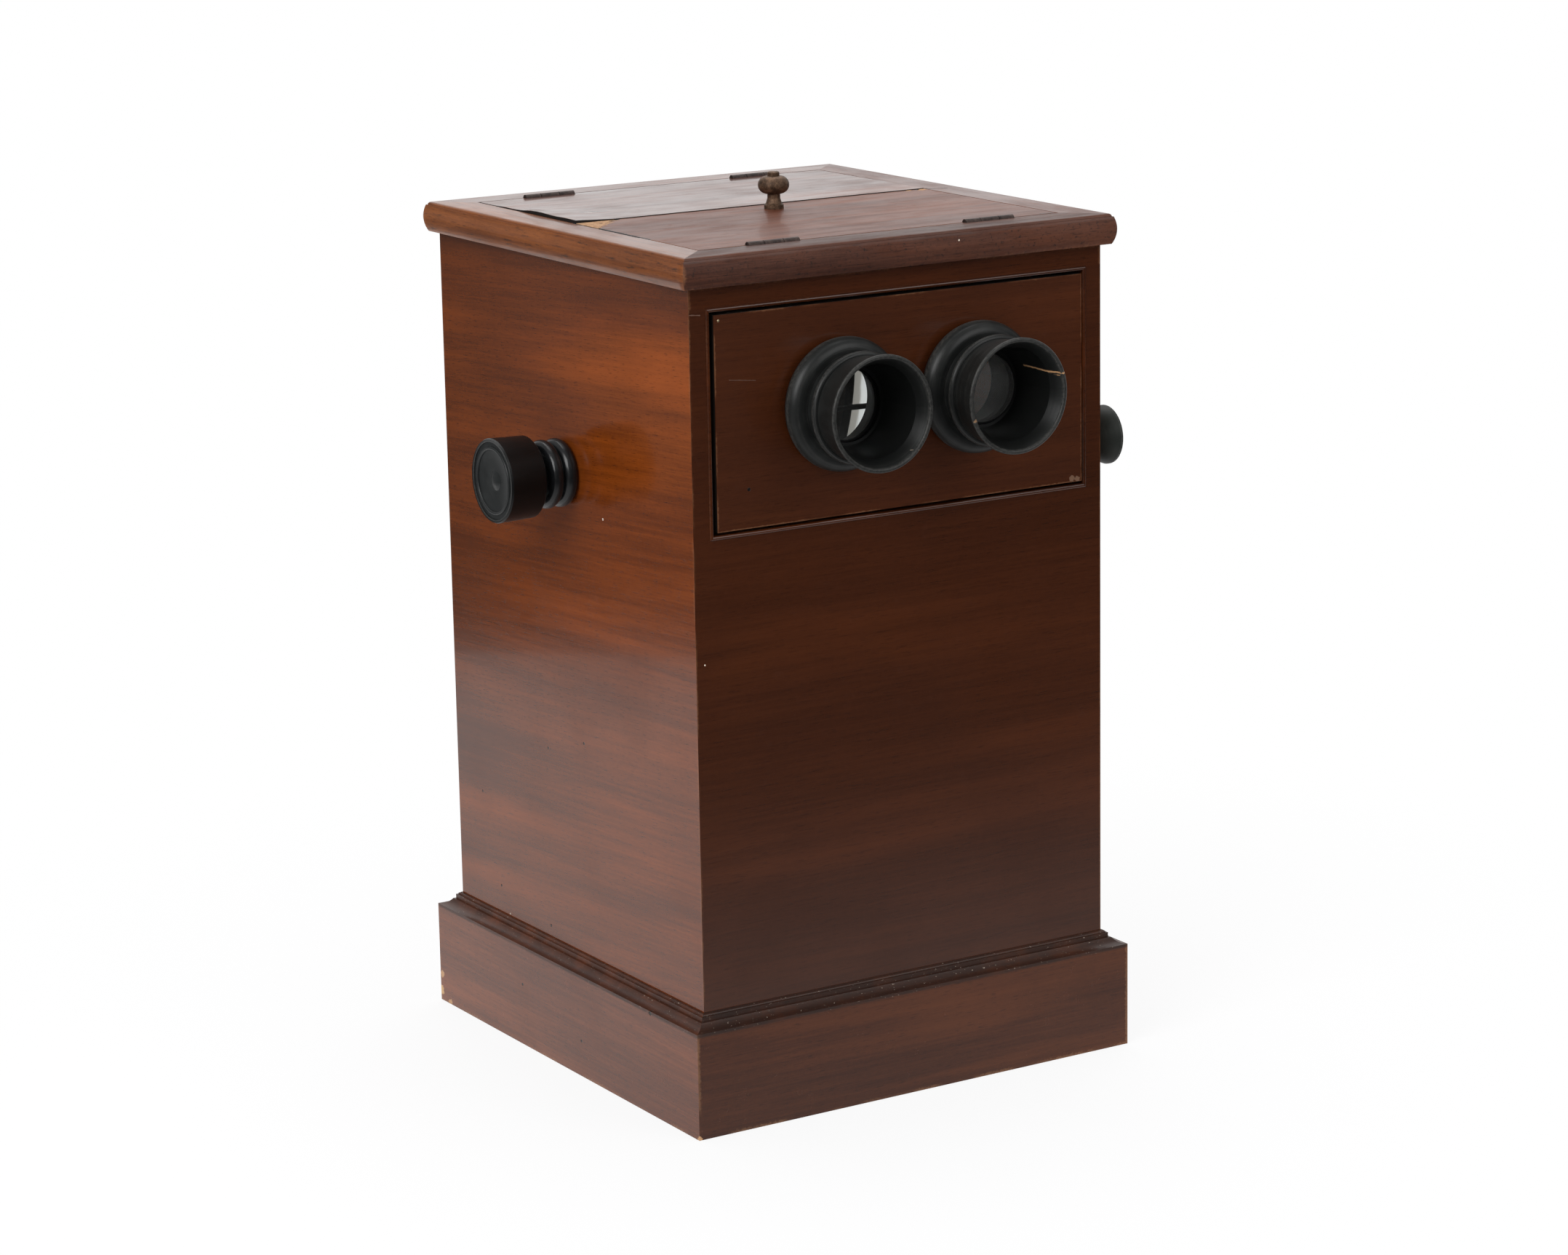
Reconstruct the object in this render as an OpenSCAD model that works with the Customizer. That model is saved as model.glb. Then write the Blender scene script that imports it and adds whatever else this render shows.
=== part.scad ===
// Tabletop stereoscope: a tall wooden case with a sliding lens box, two lid
// flaps and an endless band of card holders turned by a knob on its left side.
// Millimetres. X runs to the right along the eyepiece face, Y to the back and
// Z up, with the origin at the centre of the plinth's underside.

/* [Case] */
// Width over the side boards
case_w = 225; // [215:1:250]
// Depth over the front and back boards
case_d = 236.8; // [226:0.2:260]
// Height of the boards' top edge above the table
case_top = 393.1; // [385:0.1:410]
// Thickness of the front, side and back boards
board_t = 8.5; // [7.5:0.5:10]
// Height at which the boards end above the table
board_foot = 3; // [1:0.5:6]
// Thickness of the bottom board
floor_t = 8; // [6:0.5:12]
// Height of the bottom board's underside
floor_z = 40; // [30:1:50]
// Side of the square battens under the bottom board
batten_s = 12; // [8:1:20]

/* [Plinth] */
// How far the plinth stands out from the case
plinth_out = 9.4; // [8:0.2:12]
// Height of the plinth's flat face
plinth_face_h = 50.5; // [40:0.5:60]
// Height of the hollow moulding above the flat face
plinth_mould_h = 6.9; // [6:0.1:9]
// Radius of the small bead against the case
plinth_bead_r = 1; // [0.8:0.1:1.4]

/* [Top frame] */
// Thickness of the frame round the lid
top_t = 14.3; // [13:0.1:18]
// How far the frame's rounded edge stands out from the case
top_out = 5.7; // [4:0.1:8]
// Height of the bulge of the rounded edge
top_bulge = 1.8; // [1:0.1:2.5]
// Rounding of the frame's upper arris
top_round = 1.4; // [0.8:0.1:2]
// Width of each frame member, from the edge to the lid
top_rail_w = 19.7; // [17:0.1:24]
// Width of the ledge that the flaps lie on
ledge_w = 5; // [3:0.5:7]

/* [Lid flaps] */
// Thickness of the flaps
flap_t = 8; // [7.5:0.1:9]
// Gap along the sides of the flaps
flap_side_gap = 0.7; // [0.4:0.1:1.5]
// Gap where the two flaps meet
flap_seam_gap = 0.6; // [0.4:0.1:1.5]
// Gap between a flap and its ledge
flap_rest_gap = 0.2; // [0.1:0.1:0.5]
// How far the seam lies behind the middle of the case
seam_y = 8; // [0:0.5:15]
// Lid knob's place, right of the middle
lid_knob_x = 2.2; // [-10:0.1:10]
// Lid knob's distance in front of the seam
lid_knob_back = 14.5; // [10:0.5:25]
// Radius of the lid knob's bulb
lid_knob_r = 7.5; // [6:0.1:9]
// Height of the lid knob
lid_knob_h = 17.6; // [16:0.1:20]

/* [Hinges] */
// Length of each hinge
hinge_len = 27; // [22:1:34]
// Distance of each hinge from the middle
hinge_x = 59; // [45:1:70]
// Radius of the knuckle
knuckle_r = 1.8; // [1.6:0.1:2.2]
// Radius of the hinge pin
hinge_pin_r = 0.9; // [0.7:0.1:1]
// Depth of the hinge axis below the lid's surface
hinge_sink = 0.3; // [0:0.1:0.4]
// Gap between the two leaves, with the lid closed
leaf_gap = 1; // [0.8:0.1:1.4]
// Thickness of the leaves
leaf_t = 1.2; // [1:0.1:1.4]
// Depth of the leaves below the hinge axis
leaf_drop = 7; // [6.5:0.1:7.4]
// Radius of the hinge screws' shanks
screw_r = 0.9; // [0.7:0.1:1.1]
// Length of the hinge screws
screw_len = 7; // [5:0.5:9]

/* [Mirror] */
// Width of the mirror under the front flap
mirror_w = 160; // [120:5:170]
// Depth of the mirror from front to back
mirror_d = 76; // [50:2:84]
// Thickness of the mirror
mirror_t = 3; // [2:0.5:4]
// Thickness of the mirror's clips
clip_t = 0.8; // [0.6:0.1:1.2]

/* [Front opening] */
// Height of the opening's lower edge, outside the beads
opening_z0 = 277.9; // [265:0.1:285]
// Height of the opening's upper edge, outside the beads
opening_z1 = 383.5; // [378:0.1:386]
// Width of the beads round the opening
bead_w = 2; // [1.6:0.1:3]
// How far the beads stand proud of the front
bead_out = 0.8; // [0.4:0.1:1.5]

/* [Lens box] */
// Thickness of the lens board
lens_board_t = 8; // [7:0.5:10]
// Thickness of the box's cheeks
cheek_t = 4; // [3:0.5:5]
// Thickness of the box's top and bottom
box_skin_t = 4.2; // [3.5:0.1:5]
// Depth of the lens box behind the front
box_d = 56; // [52:1:64]
// Gap left of the lens board
gap_left = 2.4; // [1.5:0.1:3]
// Gap right of the lens board
gap_right = 0.4; // [0.3:0.1:1.5]
// Gap under the lens board
gap_under = 1.3; // [0.8:0.1:2]
// Gap over the lens board
gap_over = 1.5; // [0.8:0.1:2]
// How far the lens box slides out to focus
focus_travel = 14; // [8:1:16]

/* [Eyepieces] */
// Distance between the eyepieces' centres
eye_gap = 74; // [68:1:80]
// How far the pair lies right of the middle
eye_mid = 2.5; // [0:0.5:5]
// Height of the eyepieces' centres
eye_z = 333.8; // [328:0.1:338]
// Greatest radius of the rounded flange
flange_r = 31; // [29.5:0.1:32]
// Thickness of the rounded flange
flange_t = 11; // [9:0.5:13]
// Radius of the barrel where it leaves the flange
barrel_r = 24.2; // [23.5:0.1:26]
// Length of the eyepiece in front of the board
eye_len = 38; // [34:0.5:42]
// Radius of the rim
rim_r = 27; // [26:0.1:29]
// Radius of the spigot that passes through the board
spigot_r = 21.3; // [20.5:0.1:22]
// Radius of the lens
lens_r = 18.4; // [17:0.1:19]
// Thickness of the lens at its edge
lens_edge_t = 2.5; // [2:0.1:3.5]
// Radius of the lens's curved face
lens_ball_r = 95; // [80:1:140]
// How far the lens's optical centre lies outside its middle
lens_decentre = 11; // [6:0.5:13]
// Distance of the lens's edge in front of the board
lens_seat_y = 6; // [5:0.5:8]

/* [Focusing] */
// Distance of the focusing shaft behind the front
focus_y = 21.4; // [20:0.1:26]
// Height of the focusing shaft
focus_z = 297; // [295:0.5:299]
// Radius of the shafts and axles
shaft_r = 3; // [2.5:0.1:3.2]
// Number of teeth on each pinion
pinion_teeth = 16; // [14:1:17]
// Tooth size, as pitch diameter over number of teeth
tooth_module = 1; // [0.9:0.01:1]
// Width of the pinions
pinion_w = 6; // [4:0.5:8]
// Play between the teeth, along the pitch line
tooth_play = 0.16; // [0.12:0.02:0.3]
// Distance of the pinions from the cheeks
pinion_inset = 10; // [6:1:16]
// Radius of the focusing knob
focus_knob_r = 14.2; // [12:0.1:16]
// Distance of the focusing knob's rim from the case
focus_knob_x = 17.6; // [16:0.1:22]
// Height of the focusing knob's domed face
focus_dome_h = 4.5; // [3:0.1:6]

/* [Card band] */
// Height of the upper axle
axle_z = 292.3; // [285:0.1:300]
// Height of the lower axle
lower_axle_z = 150; // [140:1:160]
// Radius of the band pulleys
pulley_r = 6.5; // [6:0.5:9]
// Width of the band pulleys
pulley_w = 14; // [10:1:18]
// Distance of the pulleys from the middle
pulley_x = 70; // [55:1:80]
// Thickness of the two tapes
tape_t = 0.8; // [0.6:0.1:1]
// Width of the two tapes
tape_w = 12; // [8:1:18]
// Number of card holders on the band
holder_count = 11; // [7:2:13]
// Width of the cards that the holders take
card_w = 179; // [150:1:180]
// Height of the holders' side arms
holder_h = 70; // [50:1:72]
// Thickness of the holders' arms
holder_t = 2; // [1.8:0.1:2.2]
// Thickness of the wire between the arms
wire_t = 1.2; // [0.8:0.1:1.2]
// Lean of the hanging holders
holder_lean = 6; // [5:0.5:8]

/* [Knobs] */
// Radius of the wall rosette
rosette_r = 16.3; // [14:0.1:18]
// Length of the wall rosette
rosette_len = 14.4; // [12:0.1:17]
// Length of the knob's neck
neck_len = 4.7; // [4:0.1:7]
// Radius of the knob's neck
neck_r = 7.5; // [6:0.5:10]
// Radius of the transport knob
knob_r = 20; // [18:0.1:22]
// Length of the transport knob's head
knob_len = 19.3; // [16:0.1:22]

/* [Rear window] */
// Width of back board left on each side of the ground-glass window
window_side = 9; // [7:0.5:24]
// Height of the ground-glass window
window_h = 150; // [100:1:156]
// Height of the window's centre
window_z = 302; // [295:1:305]
// Thickness of the ground glass
glass_t = 2.2; // [1.5:0.1:3]
// Width of the rebate round the window
rebate_w = 5; // [3:0.5:7]
// Depth of the rebate
rebate_t = 4.2; // [3.5:0.1:5]

/* [Fits] */
// Radial clearance of a running shaft
run_fit = 0.05; // [0.03:0.01:0.08]
// Radial clearance of a part fixed on a shaft or in a bore
seat_fit = 0.02; // [0.01:0.01:0.04]
// Clearance between parts that slide or pass
slide_fit = 0.3; // [0.2:0.05:0.5]

/* [Hidden] */
$fn = 72;

half_w = case_w / 2;
half_d = case_d / 2;
inner_x = half_w - board_t;
front_inner_y = -half_d + board_t;
back_inner_y = half_d - board_t;
window_w = 2 * (inner_x - window_side);
plinth_top = plinth_face_h + plinth_mould_h;
mitre_hair = 0.03;

lid_z = case_top + top_t;
lid_half_x = half_w + top_out - top_rail_w;
lid_half_y = half_d + top_out - top_rail_w;
ledge_z = lid_z - flap_t - flap_rest_gap;
flap_z = lid_z - flap_t;
hinge_z = lid_z - hinge_sink;
hinge_y = lid_half_y - leaf_gap / 2;
knuckle_room = 0.4;
notch_r = knuckle_r + knuckle_room;
leaf_top = notch_r - 0.1;
knuckle_gap = slide_fit;
screw_head_h = 0.9;
mid_knuckle = (hinge_len - 2 * knuckle_gap) * 0.38;
screw_dx = hinge_len / 4;
screw_z = (leaf_top + leaf_drop) / 2;

knob_y = seam_y - lid_knob_back;
knob_stem_r = 2;
knob_stem = flap_t - 1.5;
mirror_y = (-lid_half_y + ledge_w + seam_y) / 2;

clear_x = inner_x - bead_w;
board_x0 = -clear_x + gap_left;
board_x1 = clear_x - gap_right;
board_z0 = opening_z0 + bead_w + gap_under;
board_z1 = opening_z1 - bead_w - gap_over;
lens_board_back = -half_d + lens_board_t;
box_back_y = -half_d + box_d;
box_floor_z = board_z0 + box_skin_t;
box_ceiling_z = board_z1 - box_skin_t;
rail_len = box_d - board_t;
rail_w = 12;
rail_drop = 12;
guide_h = 4;
guide_top_z = box_floor_z + guide_h;

eye_xs = [eye_mid - eye_gap / 2, eye_mid + eye_gap / 2];
spigot_back = lens_board_t + 4;
nut_t = 3;
nut_w = 4;
lens_play = 0.2;
lens_lap = 1.2;
lens_pocket_r = lens_r + lens_play;
lens_stop_r = lens_r - lens_lap;

pitch_r = pinion_teeth * tooth_module / 2;
pressure = 20;
base_r = pitch_r * cos(pressure);
tip_r = pitch_r + 0.9 * tooth_module;
root_r = pitch_r - 1.1 * tooth_module;
rack_pitch_z = focus_z - pitch_r;
rack_addendum = 0.85 * tooth_module;
rack_dedendum = 1.15 * tooth_module;
rack_pitch = PI * tooth_module;
focus_shaft_y = -half_d + focus_y;
pinion_xs = [board_x0 + cheek_t + pinion_inset, board_x1 - cheek_t - pinion_inset];
slot_r = shaft_r + 0.6;
rack_w = pinion_w - 1;
flank_steps = 5;
flank_rs = [for (i = [0:flank_steps]) base_r + (tip_r - base_r) * i / flank_steps];

bush_wall = 2.5;
bush_r = shaft_r + bush_wall;
blind_depth = board_t - 2;
collar_r = shaft_r + bush_wall;
collar_w = 3.2;
pulley_hub = 2;
tape_in_r = pulley_r + slide_fit;
tape_out_r = tape_in_r + tape_t;
band_quarter = tape_out_r * PI / 2;
band_run = axle_z - lower_axle_z;
holder_pitch = (4 * band_quarter + 2 * band_run) / holder_count;
arm_w = 2.5;
arm_foot = 1.2;
wire_lap = (holder_t - wire_t) / 2;

axle_bore = 12;
hub_reach = 9;
focus_hub_x = half_w + focus_knob_x - hub_reach;
focus_bore = 5;
end_play = 0.5;

mahogany_red = [0.36, 0.18, 0.11];
mahogany_dark = [0.25, 0.12, 0.09];
mahogany_top = [0.44, 0.30, 0.24];
inner_wood = [0.16, 0.11, 0.09];
ebony = [0.10, 0.10, 0.10];
old_brass = [0.42, 0.36, 0.24];
old_iron = [0.26, 0.21, 0.20];
steel = [0.60, 0.60, 0.60];
clear_glass = [0.75, 0.80, 0.80];
white_glass = [0.92, 0.93, 0.92];
linen = [0.62, 0.56, 0.44];

// A profile drawn as [outward, up], run along X at the back of a rectangle
module run_along(length) rotate([90, 0, 90]) linear_extrude(length, center = true) children();

// One mitred side of a frame round a rectangle: 0 back, 1 left, 2 front, 3 right.
// The open value leaves a hairline at the mitres of frames whose sides share a node.
module frame_side(side, half_x, half_y, inward, outward, low, high, open = 0) {
  along = side % 2 == 0 ? half_x : half_y;
  away = side % 2 == 0 ? half_y : half_x;
  rotate([0, 0, 90 * side])
    intersection() {
      translate([0, away, 0])
        run_along(2 * (along + outward))
          children();
      translate([0, 0, low])
        linear_extrude(high - low)
          polygon([
            [-along + inward + open, away - inward], [along - inward - open, away - inward],
            [along + outward - open, away + outward], [-along - outward + open, away + outward]
          ]);
    }
}

// Axle or bore along X, from one place to another
module x_rod(x0, x1, y, z, r) translate([x0, y, z]) rotate([0, 90, 0]) cylinder(h = x1 - x0, r = r);

// A turned profile drawn as [radius, distance along +X]
module turned_x() rotate([0, 90, 0]) rotate_extrude() children();

// A turned profile drawn as [radius, distance towards the viewer]
module turned_front() rotate([90, 0, 0]) rotate_extrude() children();

// Keeps the right half of a turned profile
module right_half(size) {
  intersection() {
    children();
    translate([0, -size]) square([size, 2 * size]);
  }
}

// Boards of the case

module side_plan() {
  polygon([
    [-half_w, -half_d], [-inner_x, front_inner_y],
    [-inner_x, half_d], [-half_w, half_d]
  ]);
}

module side_solid() translate([0, 0, board_foot]) linear_extrude(case_top - board_foot) side_plan();

module side_board_left() color(mahogany_red)
  difference() {
    side_solid();
    x_rod(-half_w - 1, -inner_x + 1, 0, axle_z, bush_r + seat_fit);
    x_rod(-inner_x - blind_depth, -inner_x + 1, 0, lower_axle_z, bush_r + seat_fit);
    x_rod(-inner_x - blind_depth, -inner_x + 1, focus_shaft_y, focus_z, bush_r + seat_fit);
  }

module side_board_right() color(mahogany_red)
  difference() {
    mirror([1, 0, 0]) side_solid();
    x_rod(inner_x - 1, inner_x + blind_depth, 0, axle_z, bush_r + seat_fit);
    x_rod(inner_x - 1, inner_x + blind_depth, 0, lower_axle_z, bush_r + seat_fit);
    x_rod(inner_x - 1, half_w + 1, focus_shaft_y, focus_z, bush_r + seat_fit);
  }

module front_plan() {
  polygon([
    [-half_w, -half_d], [half_w, -half_d],
    [inner_x, front_inner_y], [-inner_x, front_inner_y]
  ]);
}

module front_board() color(mahogany_dark)
  difference() {
    translate([0, 0, board_foot]) linear_extrude(opening_z1 - board_foot) front_plan();
    translate([-inner_x, -half_d - 1, opening_z0])
      cube([2 * inner_x, board_t + 2, opening_z1 - opening_z0 + 1]);
  }

module front_top_rail() color(mahogany_dark)
  translate([0, 0, opening_z1]) linear_extrude(case_top - opening_z1) front_plan();

module back_board() color(mahogany_red)
  difference() {
    translate([-inner_x, back_inner_y, board_foot])
      cube([2 * inner_x, board_t, case_top - board_foot]);
    translate([-window_w / 2, back_inner_y - 1, window_z - window_h / 2])
      cube([window_w, board_t + 2, window_h]);
    translate([-window_w / 2 - rebate_w, back_inner_y - 1, window_z - window_h / 2 - rebate_w])
      cube([window_w + 2 * rebate_w, rebate_t + 1, window_h + 2 * rebate_w]);
  }

module bottom_board() color(inner_wood)
  translate([-inner_x, front_inner_y, floor_z])
    cube([2 * inner_x, back_inner_y - front_inner_y, floor_t]);

module floor_battens() color(inner_wood)
  for (x = [-inner_x, inner_x - batten_s])
    translate([x, front_inner_y, floor_z - batten_s])
      cube([batten_s, back_inner_y - front_inner_y, batten_s]);

// Plinth: boards round the foot of the case with a bead and a hollow on top

module plinth_profile() {
  arris_h = 0.4;
  bead_x = 0.8 * plinth_bead_r;
  bead_z = plinth_top - 1.2 * plinth_bead_r;
  step_x = 2.6 * plinth_bead_r;
  cove_r = min(plinth_mould_h, plinth_out - 2.4 * plinth_bead_r);
  difference() {
    square([plinth_out, plinth_top]);
    translate([plinth_out, plinth_face_h + arris_h + cove_r]) circle(r = cove_r);
    translate([step_x, plinth_face_h + cove_r / 2]) square([plinth_out, plinth_mould_h]);
    translate([bead_x, bead_z]) square([plinth_out, plinth_mould_h]);
  }
  translate([bead_x, bead_z]) circle(r = plinth_bead_r);
}

module plinth_side(side) color(mahogany_dark)
  frame_side(side, half_w, half_d, 0, plinth_out, 0, plinth_top + 1)
    right_half(2 * plinth_top) plinth_profile();

module plinth_back() plinth_side(0);
module plinth_left() plinth_side(1);
module plinth_front() plinth_side(2);
module plinth_right() plinth_side(3);

// Top frame: mitred members with a rounded edge and a ledge for the flaps

module top_profile() {
  bulge_r = (pow(top_t / 2, 2) + pow(top_bulge, 2)) / (2 * top_bulge);
  difference() {
    intersection() {
      translate([-top_rail_w + top_out, 0]) square([top_rail_w, top_t]);
      translate([top_out - bulge_r, top_t / 2]) circle(r = bulge_r, $fn = 180);
    }
    // Upper arris, rounded by a corner cut with a quarter circle
    difference() {
      translate([top_out - top_bulge - top_round, top_t - top_round]) square(2 * top_round);
      translate([top_out - top_bulge - top_round, top_t - top_round]) circle(r = top_round);
    }
  }
  translate([-top_rail_w + top_out - ledge_w, 0]) square([ledge_w + 1, ledge_z - case_top]);
}

module top_side(side) color(mahogany_top)
  translate([0, 0, case_top])
    frame_side(side, half_w, half_d, top_rail_w + ledge_w - top_out, top_out, 0, top_t)
      top_profile();

// Where a hinge sits at the front (-1) or back (1) edge of the lid
module at_hinges(end) {
  for (x = [-hinge_x, hinge_x])
    translate([x, end * hinge_y, hinge_z])
      rotate([0, 0, end > 0 ? 180 : 0])
        children();
}

// Room for the knuckle and a leaf in wood on one side of the axis
module hinge_recess(toward) {
  depth = leaf_gap / 2 + leaf_t;
  long = hinge_len + 2 * slide_fit;
  translate([-long / 2, toward > 0 ? 0 : -notch_r, -notch_r]) cube([long, notch_r, notch_r + 1]);
  translate([-long / 2, toward > 0 ? 0 : -depth, -leaf_drop]) cube([long, depth, leaf_drop]);
}

module hinge_screw_sites(toward) {
  for (x = [-screw_dx, screw_dx])
    translate([x, toward * leaf_gap / 2, -screw_z])
      rotate([toward > 0 ? -90 : 90, 0, 0])
        children();
}

module screw_hole() cylinder(h = screw_len + end_play, r = screw_r + seat_fit);

module hinge_screw() {
  cylinder(h = screw_head_h, r1 = 2 * screw_r, r2 = screw_r);
  cylinder(h = screw_len, r = screw_r);
}

module leaf_plate(toward) {
  y0 = toward > 0 ? leaf_gap / 2 : -leaf_gap / 2 - leaf_t;
  difference() {
    translate([-hinge_len / 2, y0, -leaf_drop]) cube([hinge_len, leaf_t, leaf_drop - leaf_top]);
    hinge_screw_sites(toward) {
      translate([0, 0, -seat_fit])
        cylinder(h = screw_head_h, r1 = 2 * screw_r + seat_fit, r2 = screw_r + seat_fit);
      screw_hole();
    }
  }
}

module knuckle(x0, x1, toward) {
  y0 = toward > 0 ? leaf_gap / 2 : -leaf_gap / 2 - leaf_t;
  difference() {
    union() {
      x_rod(x0, x1, 0, 0, knuckle_r);
      translate([x0, y0, -leaf_top - 0.1]) cube([x1 - x0, leaf_t, leaf_top + 0.1]);
    }
    x_rod(x0 - 1, x1 + 1, 0, 0, hinge_pin_r + run_fit);
  }
}

module fixed_leaf() {
  leaf_plate(-1);
  knuckle(-hinge_len / 2, -mid_knuckle / 2 - knuckle_gap, -1);
  knuckle(mid_knuckle / 2 + knuckle_gap, hinge_len / 2, -1);
}

module moving_leaf() {
  leaf_plate(1);
  knuckle(-mid_knuckle / 2, mid_knuckle / 2, 1);
}

module top_rail_hinged(side, end) color(mahogany_top)
  difference() {
    top_side(side);
    at_hinges(end) hinge_recess(-1);
    at_hinges(end) hinge_screw_sites(-1) screw_hole();
  }

module top_rail_front() top_rail_hinged(2, -1);
module top_rail_back() top_rail_hinged(0, 1);
module top_rail_left() top_side(1);
module top_rail_right() top_side(3);

module hinge_leaves_fixed() color(old_iron)
  for (end = [-1, 1]) at_hinges(end) fixed_leaf();

module hinge_pins() color(old_iron)
  for (end = [-1, 1]) at_hinges(end) x_rod(-hinge_len / 2, hinge_len / 2, 0, 0, hinge_pin_r);

module hinge_screws_fixed() color(old_iron)
  for (end = [-1, 1]) at_hinges(end) hinge_screw_sites(-1) hinge_screw();

// Lid flaps

module flap(end, y0, y1) color(mahogany_top)
  difference() {
    translate([-lid_half_x + flap_side_gap, y0, flap_z])
      cube([2 * (lid_half_x - flap_side_gap), y1 - y0, flap_t]);
    at_hinges(end) hinge_recess(1);
    at_hinges(end) hinge_screw_sites(1) screw_hole();
    children();
  }

module lid_front()
  flap(-1, -lid_half_y + leaf_gap, seam_y - flap_seam_gap / 2)
    translate([lid_knob_x, knob_y, lid_z - knob_stem - end_play])
      cylinder(h = knob_stem + 1, r = knob_stem_r + seat_fit);

module lid_back() flap(1, seam_y + flap_seam_gap / 2, lid_half_y - leaf_gap);

module front_hinge_leaves() color(old_iron) at_hinges(-1) moving_leaf();
module back_hinge_leaves() color(old_iron) at_hinges(1) moving_leaf();
module front_lid_screws() color(old_iron) at_hinges(-1) hinge_screw_sites(1) hinge_screw();
module back_lid_screws() color(old_iron) at_hinges(1) hinge_screw_sites(1) hinge_screw();

// Turned brass knob: foot, neck, full bulb and flat button, with a stem in the flap
module lid_knob() color(old_brass) {
  bulb_h = 8.4;
  foot_r = 4.7;
  foot_h = 2.2;
  neck = 3.1;
  neck_z = 5;
  button_r = 2.9;
  button_h = 2;
  arris = 0.4;
  bulb_z = lid_knob_h - button_h - bulb_h / 2;
  translate([lid_knob_x, knob_y, lid_z]) {
    rotate_extrude()
      right_half(40) {
        polygon([
          [0, 0], [foot_r, 0], [foot_r, foot_h - arris], [foot_r - arris, foot_h],
          [1.25 * neck, foot_h + arris], [neck, neck_z], [neck, bulb_z], [0, bulb_z]
        ]);
        translate([0, bulb_z - bulb_h / 2]) square([lid_knob_r - bulb_h / 2, bulb_h]);
        translate([lid_knob_r - bulb_h / 2, bulb_z]) circle(r = bulb_h / 2);
        polygon([
          [0, bulb_z], [button_r, bulb_z], [button_r, lid_knob_h - arris],
          [button_r - arris, lid_knob_h], [0, lid_knob_h]
        ]);
      }
    translate([0, 0, -knob_stem]) cylinder(h = knob_stem + 1, r = knob_stem_r);
  }
}

// Mirror under the front flap, held by four bent clips

module lid_mirror() color(clear_glass)
  translate([-mirror_w / 2, mirror_y - mirror_d / 2, flap_z - mirror_t])
    cube([mirror_w, mirror_d, mirror_t]);

module mirror_clips() color(old_brass) {
  clip_w = 10;
  hold = 4;
  foot = 6;
  for (x = [-mirror_w / 4, mirror_w / 4], end = [-1, 1])
    translate([x - clip_w / 2, mirror_y, flap_z])
      mirror([0, end > 0 ? 0 : 1, 0])
        translate([0, mirror_d / 2, 0]) {
          translate([0, 0, -mirror_t - clip_t]) cube([clip_w, clip_t, mirror_t + clip_t]);
          translate([0, -hold, -mirror_t - clip_t]) cube([clip_w, hold + clip_t, clip_t]);
          translate([0, 0, -clip_t]) cube([clip_w, foot, clip_t]);
        }
}

// Front opening and the rails that carry the lens box

module opening_bead_profile() {
  translate([-bead_w, -board_t]) square([bead_w, board_t + bead_out - bead_w / 2]);
  translate([-bead_w / 2, bead_out - bead_w / 2]) circle(r = bead_w / 2);
}

module opening_beads() color(mahogany_dark)
  translate([0, -half_d, (opening_z0 + opening_z1) / 2])
    rotate([90, 0, 0])
      for (side = [0:3])
        frame_side(side, inner_x, (opening_z1 - opening_z0) / 2, bead_w, 0, -board_t, bead_out, mitre_hair)
          opening_bead_profile();

module slide_rails() color(inner_wood) {
  low_z = board_z0 - slide_fit;
  strip_z = board_z1 + slide_fit;
  strip_h = 6;
  for (right = [false, true]) {
    wall = right ? inner_x - rail_w : -inner_x;
    guide_w = right ? inner_x - board_x1 - slide_fit : board_x0 + inner_x - slide_fit;
    guide_x = right ? inner_x - guide_w : -inner_x;
    translate([wall, front_inner_y, low_z - rail_drop]) cube([rail_w, rail_len, rail_drop]);
    translate([guide_x, front_inner_y, low_z - 1]) cube([guide_w, rail_len, guide_top_z - low_z + 1]);
    translate([wall, front_inner_y, strip_z]) cube([rail_w, rail_len, strip_h]);
  }
}

// Rear window

module ground_glass() color(white_glass) {
  play = 0.5;
  glass_w = window_w + 2 * (rebate_w - play);
  glass_h = window_h + 2 * (rebate_w - play);
  translate([-glass_w / 2, back_inner_y + rebate_t - glass_t, window_z - glass_h / 2])
    cube([glass_w, glass_t, glass_h]);
}

module glass_beads() color(inner_wood) {
  half_x = window_w / 2 + rebate_w;
  half_z = window_h / 2 + rebate_w;
  translate([0, back_inner_y, window_z])
    rotate([90, 0, 0])
      for (side = [0:3])
        frame_side(side, half_x, half_z, rebate_w, 0, -rebate_t, 0, mitre_hair)
          translate([-rebate_w, glass_t - rebate_t]) square([rebate_w, rebate_t - glass_t]);
}

// Bearings and the rosette on the wall

module bush(x0, x1, y, z) {
  difference() {
    x_rod(x0, x1, y, z, bush_r);
    x_rod(x0 - 1, x1 + 1, y, z, shaft_r + run_fit);
  }
}

module shaft_bushes() color(old_brass) {
  bush(-half_w, -inner_x, 0, axle_z);
  bush(inner_x, inner_x + blind_depth, 0, axle_z);
  bush(-inner_x - blind_depth, -inner_x, 0, lower_axle_z);
  bush(inner_x, inner_x + blind_depth, 0, lower_axle_z);
  bush(-inner_x - blind_depth, -inner_x, focus_shaft_y, focus_z);
  bush(inner_x, half_w, focus_shaft_y, focus_z);
}

module rosette_profile() {
  bead = rosette_len / 4;
  bore = shaft_r + 0.4;
  difference() {
    union() {
      square([rosette_r - bead, rosette_len]);
      for (x = [bead, 3 * bead]) translate([rosette_r - bead, x]) circle(r = bead);
    }
    translate([0, -1]) square([bore, rosette_len + 2]);
  }
}

module transport_rosette() color(ebony)
  translate([-half_w, 0, axle_z]) mirror([1, 0, 0]) turned_x() rosette_profile();

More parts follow.
